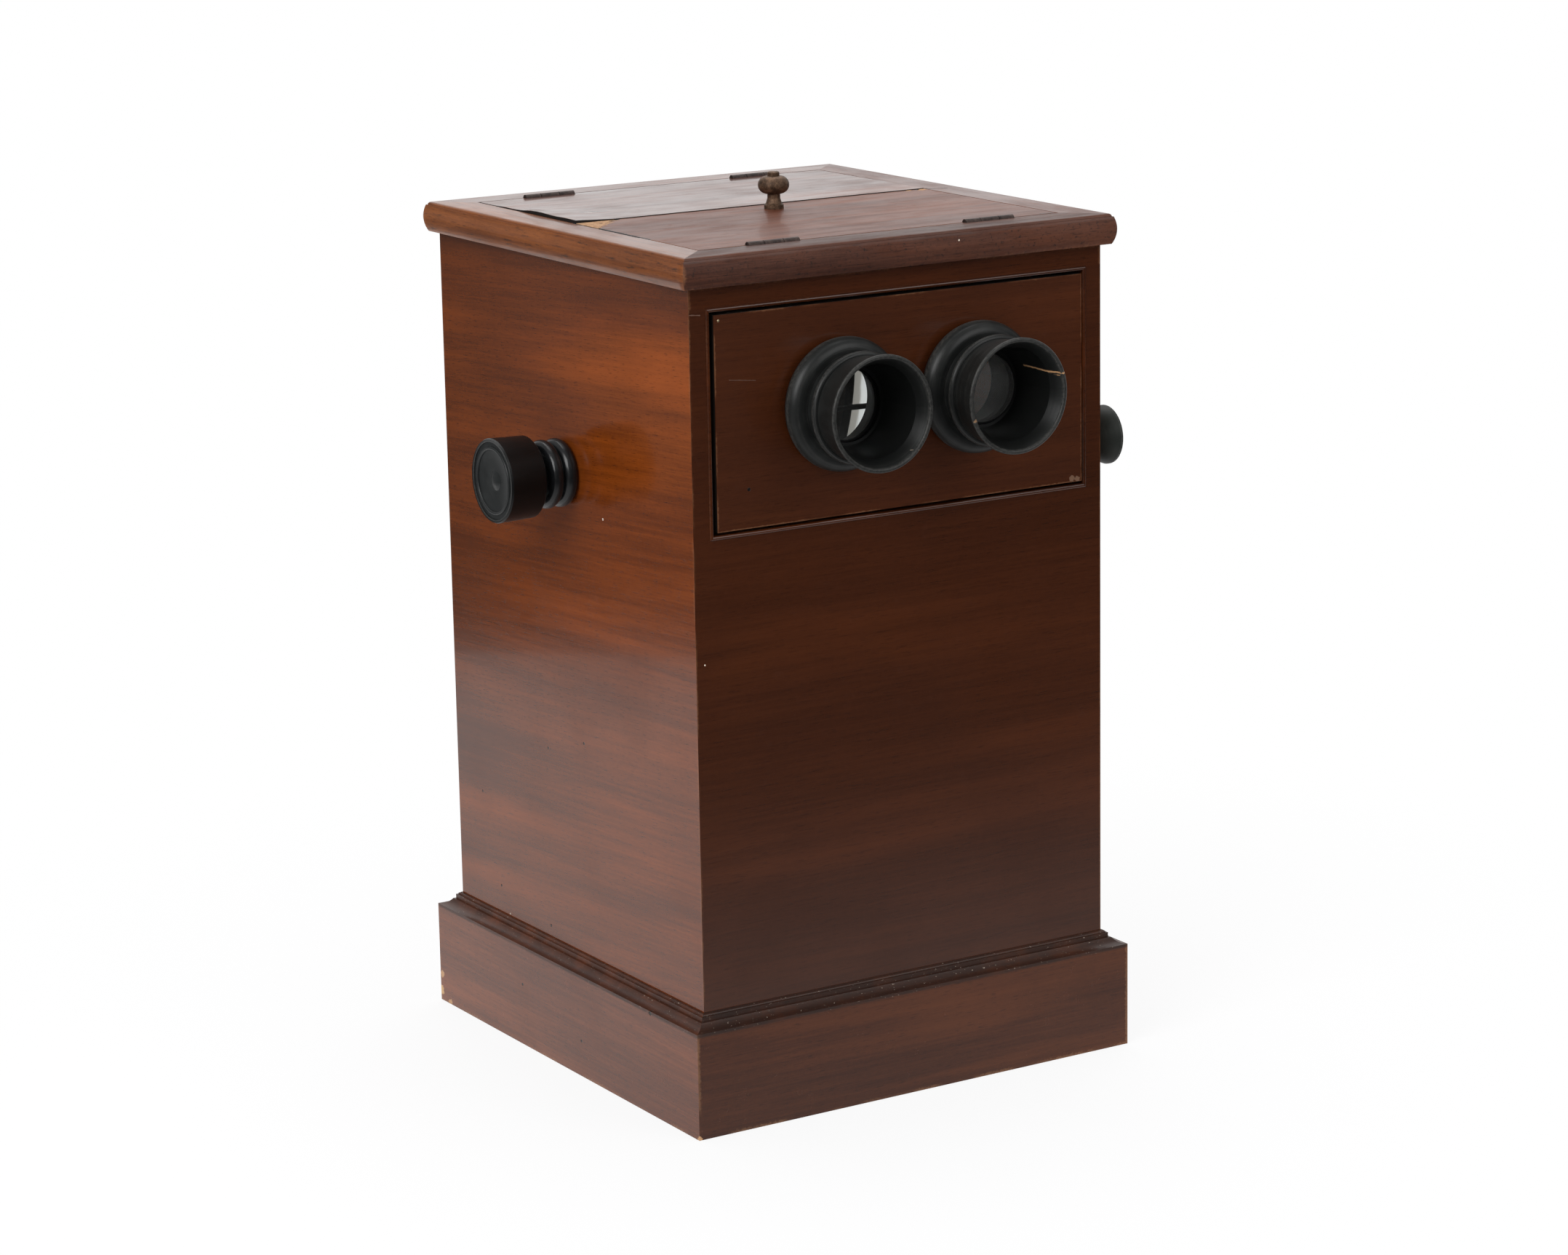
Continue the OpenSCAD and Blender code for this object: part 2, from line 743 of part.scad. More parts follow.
// Transport knob: neck, drum-like head, raised lip, dished face and centre boss

module transport_knob_profile() {
  lip = 1.6;
  lip_h = 0.9;
  draft = 0.6;
  ring_r = knob_r * 0.77;
  ring_bead = 0.8;
  dish = 1.4;
  dish_r = (pow(ring_r, 2) + pow(dish, 2)) / (2 * dish);
  boss_r = 5;
  boss = 1.1;
  boss_ball = (pow(boss_r, 2) + pow(boss, 2)) / (2 * boss);
  head = neck_len + knob_len;
  corner = 1;
  difference() {
    union() {
      square([neck_r, head - 1]);
      polygon([
        [0, neck_len], [knob_r - draft - corner, neck_len], [knob_r - draft, neck_len + corner],
        [knob_r, head - corner], [knob_r - corner / 2, head], [0, head]
      ]);
    }
    translate([0, head - lip_h]) square([knob_r - lip, 2 * lip_h]);
    translate([0, head - lip_h + dish_r - dish]) circle(r = dish_r, $fn = 240);
  }
  translate([ring_r, head - lip_h]) circle(r = ring_bead);
  translate([0, head - lip_h - dish + boss - boss_ball]) circle(r = boss_ball, $fn = 120);
}

module transport_knob() color(ebony) {
  gap = slide_fit;
  translate([-half_w - rosette_len, 0, axle_z])
    mirror([1, 0, 0])
      turned_x()
        difference() {
          right_half(200) intersection() {
            transport_knob_profile();
            translate([0, gap]) square([2 * knob_r, neck_len + knob_len]);
          }
          translate([0, -1]) square([shaft_r + seat_fit, axle_bore + 1]);
        }
}

module upper_axle() color(steel)
  x_rod(-half_w - rosette_len - axle_bore + end_play, inner_x + blind_depth - end_play, 0, axle_z, shaft_r);

module pulley(x, z) {
  difference() {
    union() {
      x_rod(x - pulley_w / 2, x + pulley_w / 2, 0, z, pulley_r);
      x_rod(x - pulley_w / 2 - pulley_hub, x + pulley_w / 2 + pulley_hub, 0, z, shaft_r + pulley_hub);
    }
    x_rod(x - pulley_w, x + pulley_w, 0, z, shaft_r + seat_fit);
  }
}

module upper_pulleys() color(inner_wood) for (x = [-pulley_x, pulley_x]) pulley(x, axle_z);
module lower_pulleys() color(inner_wood) for (x = [-pulley_x, pulley_x]) pulley(x, lower_axle_z);

module collar(x, y, z) {
  difference() {
    x_rod(x, x + collar_w, y, z, collar_r);
    x_rod(x - 1, x + collar_w + 1, y, z, shaft_r + seat_fit);
  }
}

module axle_collar() color(old_brass) collar(-inner_x + slide_fit, 0, axle_z);

module lower_axle() color(steel)
  x_rod(-inner_x - blind_depth + end_play, inner_x + blind_depth - end_play, 0, lower_axle_z, shaft_r);

// Endless tapes over both pulleys, and the card holders fixed across them

module band_outline(r) {
  translate([0, axle_z]) circle(r = r);
  translate([0, lower_axle_z]) circle(r = r);
  translate([-r, lower_axle_z]) square([2 * r, band_run]);
}

module card_tapes() color(linen)
  for (x = [-pulley_x, pulley_x])
    translate([x, 0, 0])
      run_along(tape_w)
        difference() {
          band_outline(tape_out_r);
          band_outline(tape_in_r);
        }

// Place on the band at a distance from its crest, positive towards the front:
// how far along the round part in degrees, how far down the straight part
function band_turn(s) = min(abs(s), band_quarter) / tape_out_r * 180 / PI
  + max(abs(s) - band_quarter - band_run, 0) / tape_out_r * 180 / PI;
function band_fall(s) = min(max(abs(s) - band_quarter, 0), band_run);

module card_holder(s) {
  front = s < 0 ? 1 : -1;
  turn = band_turn(s);
  frame_w = card_w + 2 * arm_w;
  wire_w = frame_w - arm_w;
  hang = s == 0 ? 0 : 180 - holder_lean;
  mirror([0, front > 0 ? 0 : 1, 0]) {
    translate([0, 0, axle_z - band_fall(s)])
      rotate([-turn, 0, 0])
        translate([-wire_w / 2, -wire_t / 2, tape_out_r])
          cube([wire_w, wire_t, wire_t]);
    translate([0, tape_out_r * sin(turn), axle_z - band_fall(s) + tape_out_r * cos(turn)])
      rotate([-hang, 0, 0])
        holder_arms(frame_w, s == 0);
  }
}

// Two arms round the wire's ends, open at the end where the card goes in
module holder_arms(frame_w, upright) {
  for (x = [-frame_w / 2, frame_w / 2 - arm_w])
    translate([x, upright ? -holder_t / 2 : wire_lap - holder_t, -arm_foot])
      cube([arm_w, holder_t, holder_h + arm_foot]);
}

module card_holders() color(old_iron)
  for (i = [-(holder_count - 1) / 2 : (holder_count - 1) / 2]) card_holder(i * holder_pitch);

// Lens box

module lens_board() color(mahogany_dark)
  difference() {
    translate([board_x0, -half_d, board_z0])
      cube([board_x1 - board_x0, lens_board_t, board_z1 - board_z0]);
    for (x = eye_xs)
      translate([x, -half_d - 1, eye_z])
        rotate([-90, 0, 0])
          cylinder(h = lens_board_t + 2, r = spigot_r + seat_fit);
  }

module lens_box_skin(z)
  translate([board_x0, lens_board_back, z])
    cube([board_x1 - board_x0, box_back_y - lens_board_back, box_skin_t]);

module lens_box_bottom() color(inner_wood) lens_box_skin(board_z0);
module lens_box_top() color(inner_wood) lens_box_skin(box_ceiling_z);

module lens_box_cheeks() color(inner_wood)
  for (x = [board_x0, board_x1 - cheek_t])
    difference() {
      translate([x, lens_board_back, box_floor_z])
        cube([cheek_t, box_back_y - lens_board_back, box_ceiling_z - box_floor_z]);
      for (y = [0, focus_travel]) x_rod(x - 1, x + cheek_t + 1, focus_shaft_y + y, focus_z, slot_r);
      translate([x - 1, focus_shaft_y, focus_z - slot_r]) cube([cheek_t + 2, focus_travel, 2 * slot_r]);
    }

// Turned eyepiece: spigot, rounded flange, groove, beaded barrel and flared rim
module eyecup_profile() {
  half_t = flange_t / 2;
  groove_r = barrel_r - 1;
  groove_w = 5.4;
  barrel_y = flange_t + groove_w;
  bead = 1.7;
  bead_r = barrel_r + 1.9;
  bead_y = barrel_y + 2.6;
  rim = 1.1;
  lip_depth = 7;
  bore_front = rim_r - 5.2;
  seat_h = 3;
  difference() {
    union() {
      translate([0, -spigot_back]) square([spigot_r, spigot_back + 1]);
      square([flange_r - half_t, flange_t]);
      translate([flange_r - half_t, half_t]) circle(r = half_t);
      square([groove_r, barrel_y + 1]);
      polygon([
        [0, barrel_y], [barrel_r, barrel_y], [barrel_r, bead_y + bead],
        [rim_r - rim, eye_len - rim], [0, eye_len - rim]
      ]);
      translate([bead_r - bead, bead_y]) circle(r = bead);
      translate([rim_r - rim, eye_len - rim]) circle(r = rim);
    }
    translate([0, -spigot_back - 1]) square([lens_pocket_r, spigot_back + 1 + lens_seat_y]);
    square([lens_stop_r, lens_seat_y + seat_h]);
    polygon([
      [0, lens_seat_y + seat_h], [lens_pocket_r, lens_seat_y + seat_h], [bore_front, eye_len - lip_depth],
      [rim_r - 2 * rim, eye_len - rim], [rim_r - 2 * rim, eye_len + 1], [0, eye_len + 1]
    ]);
  }
}

module eyecup(x) color(ebony) translate([x, -half_d, eye_z]) turned_front() eyecup_profile();

module eyecup_left() eyecup(eye_xs[0]);
module eyecup_right() eyecup(eye_xs[1]);

// Prismatic lens: flat behind, thin towards the nose, with its curved face towards the eye
module lens(x, outward) color(clear_glass) {
  reach = lens_stop_r + lens_decentre;
  drop = lens_ball_r - sqrt(pow(lens_ball_r, 2) - pow(reach, 2));
  thin = 0.3;
  translate([x, -half_d - lens_seat_y, eye_z])
    rotate([90, 0, 0]) {
      translate([0, 0, -lens_edge_t]) cylinder(h = lens_edge_t, r = lens_r);
      intersection() {
        translate([0, 0, -lens_edge_t / 2]) cylinder(h = lens_edge_t + drop, r = lens_stop_r - lens_play);
        translate([outward * lens_decentre, 0, thin + drop - lens_ball_r]) sphere(r = lens_ball_r, $fn = 240);
      }
    }
}

module lens_left() lens(eye_xs[0], -1);
module lens_right() lens(eye_xs[1], 1);

module lens_retaining_rings() color(ebony) {
  ring_t = 4;
  ring_w = 2;
  for (x = eye_xs)
    translate([x, -half_d, eye_z])
      turned_front()
        translate([lens_r - ring_w, lens_seat_y - lens_edge_t - ring_t]) square([ring_w, ring_t]);
}

module eyecup_nuts() color(ebony)
  for (x = eye_xs)
    translate([x, -half_d, eye_z])
      turned_front()
        translate([spigot_r + seat_fit, -lens_board_t - nut_t]) square([nut_w, nut_t]);

// Focusing: racks on the box's bottom, pinions and shaft above them

function involute_turn(a) = tan(a) * 180 / PI - a;
function flank(r) = 90 / pinion_teeth - tooth_play / (4 * pitch_r) * 180 / PI
  + involute_turn(pressure) - involute_turn(acos(min(base_r / r, 1)));

module pinion_outline() {
  tooth = [
    [root_r, -flank(base_r)],
    for (r = flank_rs) [r, -flank(r)],
    for (i = [flank_steps:-1:0]) [flank_rs[i], flank(flank_rs[i])],
    [root_r, flank(base_r)]
  ];
  polygon([
    for (i = [0:pinion_teeth - 1], p = tooth)
      let (a = p[1] - 90 + i * 360 / pinion_teeth) [p[0] * cos(a), p[0] * sin(a)]
  ]);
}

module focus_pinions() color(old_brass)
  for (x = pinion_xs)
    translate([x, focus_shaft_y, focus_z])
      run_along(pinion_w)
        difference() {
          pinion_outline();
          circle(r = shaft_r + seat_fit);
        }

// Rack teeth, with a gap straight under the shaft when the box is in
module rack_outline() {
  ahead = 2;
  count = ceil((focus_travel + tip_r) / rack_pitch) + ahead;
  half_tooth = rack_pitch / 4 - tooth_play / 4;
  top = rack_addendum;
  low = -rack_dedendum;
  y0 = -(ahead - 0.5) * rack_pitch;
  polygon([
    [y0 - rack_pitch / 2, box_floor_z - rack_pitch_z],
    [y0 - rack_pitch / 2, low],
    for (i = [0:count - 1])
      let (y = y0 + i * rack_pitch)
        each [
          [y - half_tooth + low * tan(pressure), low],
          [y - half_tooth + top * tan(pressure), top],
          [y + half_tooth - top * tan(pressure), top],
          [y + half_tooth - low * tan(pressure), low]
        ],
    [y0 + (count - 0.5) * rack_pitch, low],
    [y0 + (count - 0.5) * rack_pitch, box_floor_z - rack_pitch_z]
  ]);
}

module focus_racks() color(old_brass)
  for (x = pinion_xs)
    translate([x, focus_shaft_y, rack_pitch_z])
      run_along(rack_w)
        rack_outline();

module focus_shaft() color(steel) {
  x0 = -inner_x - blind_depth + end_play;
  x_rod(x0, focus_hub_x + focus_bore - end_play, focus_shaft_y, focus_z, shaft_r);
}

module focus_collar() color(old_brass)
  collar(board_x0 - slide_fit - collar_w, focus_shaft_y, focus_z);

// Focusing knob: a neck, a bowl-shaped back, a thin rim and a low domed face
module focus_knob_profile() {
  rim_t = 1.2;
  wall = -focus_knob_x + hub_reach + slide_fit;
  dome_r = (pow(focus_knob_r, 2) + pow(focus_dome_h, 2)) / (2 * focus_dome_h);
  neck = 6;
  bowl_z = (pow(focus_knob_r, 2) - pow(neck, 2) + pow(hub_reach, 2)) / (2 * hub_reach);
  bowl_r = sqrt(pow(neck, 2) + pow(bowl_z, 2));
  difference() {
    union() {
      translate([0, wall]) square([neck, -wall]);
      intersection() {
        translate([0, bowl_z]) circle(r = bowl_r, $fn = 180);
        square([focus_knob_r, hub_reach]);
      }
      translate([0, hub_reach]) square([focus_knob_r, rim_t]);
      intersection() {
        translate([0, hub_reach + rim_t + focus_dome_h - dome_r]) circle(r = dome_r, $fn = 180);
        translate([0, hub_reach]) square([focus_knob_r, focus_dome_h + 2 * rim_t]);
      }
    }
    translate([0, wall - 1]) square([shaft_r + seat_fit, focus_bore - wall + 1]);
  }
}

module focus_knob() color(ebony)
  translate([focus_hub_x, focus_shaft_y, focus_z]) turned_x() focus_knob_profile();

side_board_left();
side_board_right();
front_board();
front_top_rail();
back_board();
bottom_board();
floor_battens();
plinth_front();
plinth_back();
plinth_left();
plinth_right();
top_rail_front();
top_rail_back();
top_rail_left();
top_rail_right();
opening_beads();
ground_glass();
glass_beads();
slide_rails();
transport_rosette();
shaft_bushes();
card_tapes();
card_holders();
hinge_leaves_fixed();
hinge_pins();
hinge_screws_fixed();
lid_front();
lid_knob();
lid_mirror();
mirror_clips();
front_hinge_leaves();
front_lid_screws();
lid_back();
back_hinge_leaves();
back_lid_screws();
lens_board();
lens_box_cheeks();
lens_box_top();
lens_box_bottom();
eyecup_left();
eyecup_right();
lens_left();
lens_right();
lens_retaining_rings();
eyecup_nuts();
focus_racks();
focus_shaft();
focus_pinions();
focus_knob();
focus_collar();
upper_axle();
upper_pulleys();
transport_knob();
axle_collar();
lower_axle();
lower_pulleys();
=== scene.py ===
# Tabletop stereoscope: finishes, small fittings, signs of age, light and camera.
# Metres. X runs to the right along the eyepiece face, Y to the back and Z up.
import math

import bmesh
import bpy
from mathutils import Matrix, Vector


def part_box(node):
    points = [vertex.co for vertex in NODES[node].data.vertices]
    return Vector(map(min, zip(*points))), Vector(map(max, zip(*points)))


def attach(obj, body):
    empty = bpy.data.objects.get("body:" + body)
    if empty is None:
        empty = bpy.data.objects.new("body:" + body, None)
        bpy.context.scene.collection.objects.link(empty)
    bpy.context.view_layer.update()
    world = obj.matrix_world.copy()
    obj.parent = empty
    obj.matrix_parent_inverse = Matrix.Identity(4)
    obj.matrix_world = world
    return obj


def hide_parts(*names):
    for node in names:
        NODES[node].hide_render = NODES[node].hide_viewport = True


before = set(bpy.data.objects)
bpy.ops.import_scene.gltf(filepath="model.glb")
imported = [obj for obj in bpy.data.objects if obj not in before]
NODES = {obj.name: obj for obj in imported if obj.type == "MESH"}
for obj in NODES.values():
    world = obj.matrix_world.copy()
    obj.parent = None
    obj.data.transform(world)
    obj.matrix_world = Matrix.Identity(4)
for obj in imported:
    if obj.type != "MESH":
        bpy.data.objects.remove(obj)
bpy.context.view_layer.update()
MM = 0.001


# Materials

class Wire:
    """A number, colour or place that runs through a finish. Arithmetic on a number adds Math nodes."""

    def __init__(self, finish, socket):
        self.finish = finish
        self.socket = socket

    def maths(self, operation, *others):
        """Any other step of arithmetic, by the Math node's own name for it."""
        return self.finish.add("ShaderNodeMath", {"operation": operation}, [self, *others])

    def __add__(self, other):
        return self.maths("ADD", other)

    def __sub__(self, other):
        return self.maths("SUBTRACT", other)

    def __rsub__(self, other):
        return (self - other) * -1

    def __mul__(self, other):
        return self.maths("MULTIPLY", other)

    def __truediv__(self, other):
        return self.maths("DIVIDE", other)

    __radd__ = __add__
    __rmul__ = __mul__

    def least(self, other):
        return self.maths("MINIMUM", other)

    def most(self, other):
        return self.maths("MAXIMUM", other)

    def between(self, start, end):
        """Rises smoothly from 0 at start to 1 at end."""
        return self.finish.add("ShaderNodeMapRange", {"interpolation_type": "SMOOTHSTEP"},
                               {"Value": self, "From Min": start, "From Max": end})


class Finish:
    """A finish under construction: its tree of nodes and the place on the object that it reads."""

    def __init__(self, tree, coordinates="Object"):
        self.tree = tree
        tree.nodes.clear()
        self.place = self.add("ShaderNodeTexCoord", {}, {}, coordinates)

    def add(self, kind, settings, inputs, output=0):
        """Makes a node of any kind, links or sets its inputs, and gives one of its outputs."""
        node = self.tree.nodes.new(kind)
        for key, value in settings.items():
            setattr(node, key, value)
        pairs = inputs.items() if isinstance(inputs, dict) else enumerate(inputs)
        for key, value in pairs:
            if isinstance(value, Wire):
                self.tree.links.new(value.socket, node.inputs[key])
            else:
                node.inputs[key].default_value = value
        return Wire(self, node.outputs[output])

    def vector(self, operation, *inputs, output=0):
        return self.add("ShaderNodeVectorMath", {"operation": operation}, inputs, output)

    def mix(self, share, a, b):
        """Colour a where share is 0 and colour b where it is 1."""
        return self.add("ShaderNodeMix", {"data_type": "RGBA"}, {0: share, 6: colour(a), 7: colour(b)}, 2)

    def axis(self, index, place=None):
        """X (0), Y (1) or Z (2) of a place."""
        return self.add("ShaderNodeSeparateXYZ", {}, [place or self.place], index)

    def noise(self, sizes, detail=2.0, rough=0.5, shift=0.0, place=None):
        """Soft noise whose lumps measure sizes along X, Y and Z."""
        spread = self.vector("MULTIPLY", place or self.place, [1 / s for s in sizes])
        moved = self.vector("ADD", spread, (shift, 1.7 * shift, 2.3 * shift))
        return self.add("ShaderNodeTexNoise", {}, {"Vector": moved, "Scale": 1.0, "Detail": detail,
                                                   "Roughness": rough})

    def spot(self, centre, radius, ragged=None):
        """1 within a round spot, with a ragged edge where noise is given."""
        away = self.vector("DISTANCE", self.place, centre, output="Value")
        if ragged is not None:
            away = away + (ragged - 0.5) * (1.6 * radius)
        return away.between(radius, 0.7 * radius)

    def stroke(self, a, b, width, ragged=None):
        """1 along a straight scratch from a to b."""
        run = Vector(b) - Vector(a)
        start = self.vector("SUBTRACT", self.place, a)
        along = self.vector("DOT_PRODUCT", start, tuple(run), output="Value") / run.length_squared
        along = along.most(0).least(1)
        foot = self.add("ShaderNodeVectorMath", {"operation": "SCALE"}, {0: tuple(run), "Scale": along})
        away = self.vector("LENGTH", self.vector("SUBTRACT", start, foot), output="Value")
        if ragged is not None:
            away = away + (ragged - 0.5) * (1.6 * width)
        return away.between(width, 0.5 * width)

    def line(self, corners, width, ragged=None):
        """1 along a bent scratch through the corners."""
        mask = self.stroke(corners[0], corners[1], width, ragged)
        for a, b in zip(corners[1:], corners[2:]):
            mask = mask.most(self.stroke(a, b, width, ragged))
        return mask

    def near_arris(self, box, width, ragged=None):
        """1 at the arrises of a box, fading away from them."""
        gaps = []
        for i in range(3):
            along = self.axis(i)
            gaps.append((along - box[0][i]).least(box[1][i] - along))
        away = gaps[0] + gaps[1] + gaps[2] - gaps[0].most(gaps[1]).most(gaps[2])
        if ragged is not None:
            away = away + (ragged - 0.5) * (1.4 * width)
        return away.between(width, 0)

    def skin(self, base, height=None, depth=0.0001, **sockets):
        """The surface itself, with a bump where a height is given."""
        inputs = {"Base Color": colour(base)}
        for key, value in sockets.items():
            inputs[key.replace("_", " ").title().replace("Ior", "IOR")] = value
        if height is not None:
            inputs["Normal"] = self.add("ShaderNodeBump", {}, {"Height": height, "Strength": 1.0,
                                                              "Distance": depth})
        return self.add("ShaderNodeBsdfPrincipled", {}, inputs)

    def blend(self, share, a, b):
        """Surface a where share is 0 and surface b where it is 1."""
        return self.add("ShaderNodeMixShader", {}, [share, a, b])

    def close(self, surface, kind="ShaderNodeOutputMaterial"):
        """Ends the finish with its surface."""
        out = self.tree.nodes.new(kind)
        self.tree.links.new(surface.socket, out.inputs["Surface"])


def colour(value):
    """A wire as it is, or a colour with its fourth number added."""
    return value if isinstance(value, Wire) else (*value[:3], 1.0)


def new_finish(name):
    material = bpy.data.materials.new(name)
    material.use_nodes = True
    return material, Finish(material.node_tree)


def box_of(*names):
    """The box round several CAD pieces, in metres."""
    corners = [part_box(name) for name in names]
    return ([min(c[0][i] for c in corners) for i in range(3)],
            [max(c[1][i] for c in corners) for i in range(3)])


def mm(*place):
    """A place given in millimetres, in metres."""
    return tuple(c * MM for c in place)


def path(*places):
    """Places given in millimetres, for a scratch or crack that runs through them."""
    return [mm(*place) for place in places]


def corner(name, end):
    """The lowest corner (0) or the highest corner (1) of a CAD piece, in millimetres."""
    return [round(c / MM, 1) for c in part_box(name)[end]]


def middle_of(name):
    """The middle of a CAD piece's box, in millimetres."""
    return [round((a + b) / 2, 2) for a, b in zip(corner(name, 0), corner(name, 1))]


# Wood

def polished_wood(name, node, grain, tones, offset, gloss=0.12, coat=0.2, wear=0.2,
                  bare=(0.30, 0.13, 0.055), box=None, width=1.6, spots=(), strokes=(), holes=(),
                  tilt=0.0, scuff=0.3, bands=0.3, calm=0.0, dulled=0.0, marks=None):
    """French-polished mahogany: broad bands, ribbon figure, streaks, pores, rubbed arrises, marks of use and,
    through a board's own marks, painted shade on some boards.

    The tones are those of deep streaks, light wood and fiery bands. Gloss is the least roughness. Wear is how
    bare the arrises of the box are, over a width in millimetres. Bands and calm set how strong the bands and
    how even the tones are, scuff is fine haze, and dulled is the share of perished polish.
    """
    deep, light, flame = tones
    material, f = new_finish(name)
    lie = f.place
    if tilt:
        across = "X_AXIS" if grain == "Y" else "Y_AXIS"
        lie = f.add("ShaderNodeVectorRotate", {"rotation_type": across}, {"Vector": f.place, "Angle": tilt})

    def grained(across, along, detail, rough, shift):
        sizes = [across * MM] * 3
        sizes["XYZ".index(grain)] = along * MM
        return f.noise(sizes, detail, rough, shift + offset, lie)

    band = grained(34, 300, 2, 0.45, 2)
    figure = grained(12, 190, 3, 0.55, 0)
    streak = grained(2.0, 80, 4, 0.6, 5)
    fine = grained(0.7, 22, 3, 0.6, 9)
    pores = grained(0.45, 6.5, 1, 0.5, 13).between(0.60, 0.72)
    mottle = f.noise([1.3 * MM] * 3, 3, 0.6, offset + 30)
    cloud = f.noise([60 * MM] * 3, 3, 0.55, offset + 17)
    tone = (band * bands + figure * 0.4 + streak * 0.45 + fine * 0.25 + mottle * 0.15) / (bands + 1.25)
    wood = f.mix(tone.between(0.36 - 0.12 * calm, 0.66 + 0.12 * calm), deep, light)
    wood = f.mix((band * 0.6 + figure * 0.4).between(0.50, 0.72) * (0.5 - 0.3 * calm), wood, flame)
    wood = f.mix(pores * (0.5 - 0.25 * calm), wood, [c * 0.4 for c in deep])
    wood = f.mix(cloud.between(0.45, 0.75) * 0.25, wood, deep)
    ragged = f.noise([1.6 * MM] * 3, 3, 0.6, offset)
    broad = f.noise([22 * MM] * 3, 2, 0.5, offset + 2)
    rough = gloss + cloud * 0.08 + fine * 0.04
    height = fine * 0.15 - pores * 0.06
    polish = 1 - cloud.between(0.45, 0.75) * 0.3
    if wear:
        rubbed = f.near_arris(box or box_of(node), width * MM, ragged) * broad.between(0.42, 0.62) * wear
        wood = f.mix(rubbed, wood, bare)
        rough = rough + rubbed * 0.3
    if scuff:
        haze = f.noise([9 * MM] * 3, 5, 0.7, offset + 21).between(0.55, 0.8) * scuff
        wood = f.mix(haze * 0.2, wood, [min(1.0, c * 1.5 + 0.01) for c in light])
        rough = rough + haze * 0.15
    for centre, radius, tint in spots:
        mark = f.spot(centre, radius * MM, ragged)
        wood = f.mix(mark, wood, tint)
        rough = rough + mark * 0.25
        height = height - mark * 1.2
    for corners, half_width, tint in strokes:
        mark = f.line(corners, half_width * MM, ragged)
        wood = f.mix(mark * 0.85, wood, tint)
        rough = rough + mark * 0.2
        height = height - mark
    for centre, radius in holes:
        mark = f.spot(centre, radius * MM)
        wood = f.mix(mark, wood, (0.006, 0.004, 0.003))
        height = height - mark * 4
        polish = polish * (1 - mark)
    if marks:
        wood, rough, height, polish = marks(f, ragged, wood, rough, height, polish)
    surface = f.skin(wood, height, roughness=rough, coat_weight=polish * coat, coat_roughness=0.06, ior=1.38)
    if dulled:
        perished = grained(7, 34, 5, 0.7, 27).between(0.40, 0.66) * dulled + (1 - polish) * 0.5
        lost_polish = f.skin(wood, height, roughness=0.75, specular_ior_level=0.15)
        surface = f.blend(perished, surface, lost_polish)
    f.close(surface)
    return material


def plain_wood(name, grain, deep, light, offset, rough=0.75):
    """Unpolished or stained wood inside the case."""
    material, f = new_finish(name)

    def grained(across, along, detail, shift):
        sizes = [across * MM] * 3
        sizes["XYZ".index(grain)] = along * MM
        return f.noise(sizes, detail, 0.6, shift + offset)

    streak = grained(3, 80, 4, 0)
    fine = grained(0.6, 18, 3, 7)
    tone = (streak * 0.7 + fine * 0.4).between(0.35, 0.8)
    dust = f.noise([12 * MM] * 3, 4, 0.65, offset).between(0.5, 0.8)
    wood = f.mix(dust * 0.25, f.mix(tone, deep, light), [c * 1.5 + 0.01 for c in light])
    f.close(f.skin(wood, fine, 0.0002, roughness=dust * 0.1 + rough))
    return material


def ebonised(name, tone, rough, offset, centre, turned_along, rubbed=(), shine=0.25, darker=None, marks=None,
             grooves=0.05, scratched=0.5, dark=0.2):
    """Black turned wood: turning lines, fine scratches round the axis, rubbed edges and, where a darker
    function is given, painted shade.

    Each rubbed edge is a distance along the axis, a half width and a least radius, in millimetres. Shine is
    the strength of the mirror image. Dark is how much tone is left where the darker function gives 1, a
    painted shade.
    """
    line_pitch = 0.9 * MM
    material, f = new_finish(name)
    speck = f.noise([1.1 * MM] * 3, 4, 0.65, offset)
    cloud = f.noise([9 * MM] * 3, 3, 0.55, offset + 4)
    ragged = f.noise([0.9 * MM] * 3, 3, 0.6, offset + 2)
    base = f.mix(cloud.between(0.4, 0.8) * 0.5, tone, [c * 1.8 + 0.003 for c in tone])
    dull = cloud * 0.14 + rough
    from_axis = f.vector("SUBTRACT", f.place, centre)
    flat = [0 if a == turned_along else 1 for a in "XYZ"]
    radius = f.vector("LENGTH", f.vector("MULTIPLY", from_axis, flat), output="Value")
    along = f.axis("XYZ".index(turned_along), from_axis)
    lines = ((radius + along) * (2 * math.pi / line_pitch)).maths("SINE")
    height = speck * 0.15 + lines * grooves
    unrolled = f.add("ShaderNodeCombineXYZ", {}, [radius, along, 0])
    turning = f.noise([0.4 * MM, 0.4 * MM, 1], 3, 0.65, offset + 9, unrolled)
    scratches = turning.between(0.54, 0.72) * cloud.between(0.3, 0.6) * scratched
    base = f.mix(scratches, base, (0.050, 0.048, 0.044))
    for level, half_width, least_radius in rubbed:
        near = (along - level * MM).maths("ABSOLUTE").between(half_width * MM, 0)
        near = near * radius.between((least_radius - 0.6) * MM, least_radius * MM) * speck.between(0.3, 0.7)
        base = f.mix(near * 0.55, base, (0.075, 0.072, 0.066))
        dull = dull + near * 0.12
    if darker:
        # Painted shade: where the darker function gives 1 the tone is cut to the share dark
        base = f.mix(darker(radius, along), base, [c * dark for c in tone])
    if marks:
        base, height = marks(f, ragged, base, height)
    f.close(f.skin(base, height, 0.00005, roughness=dull, specular_ior_level=shine))
    return material


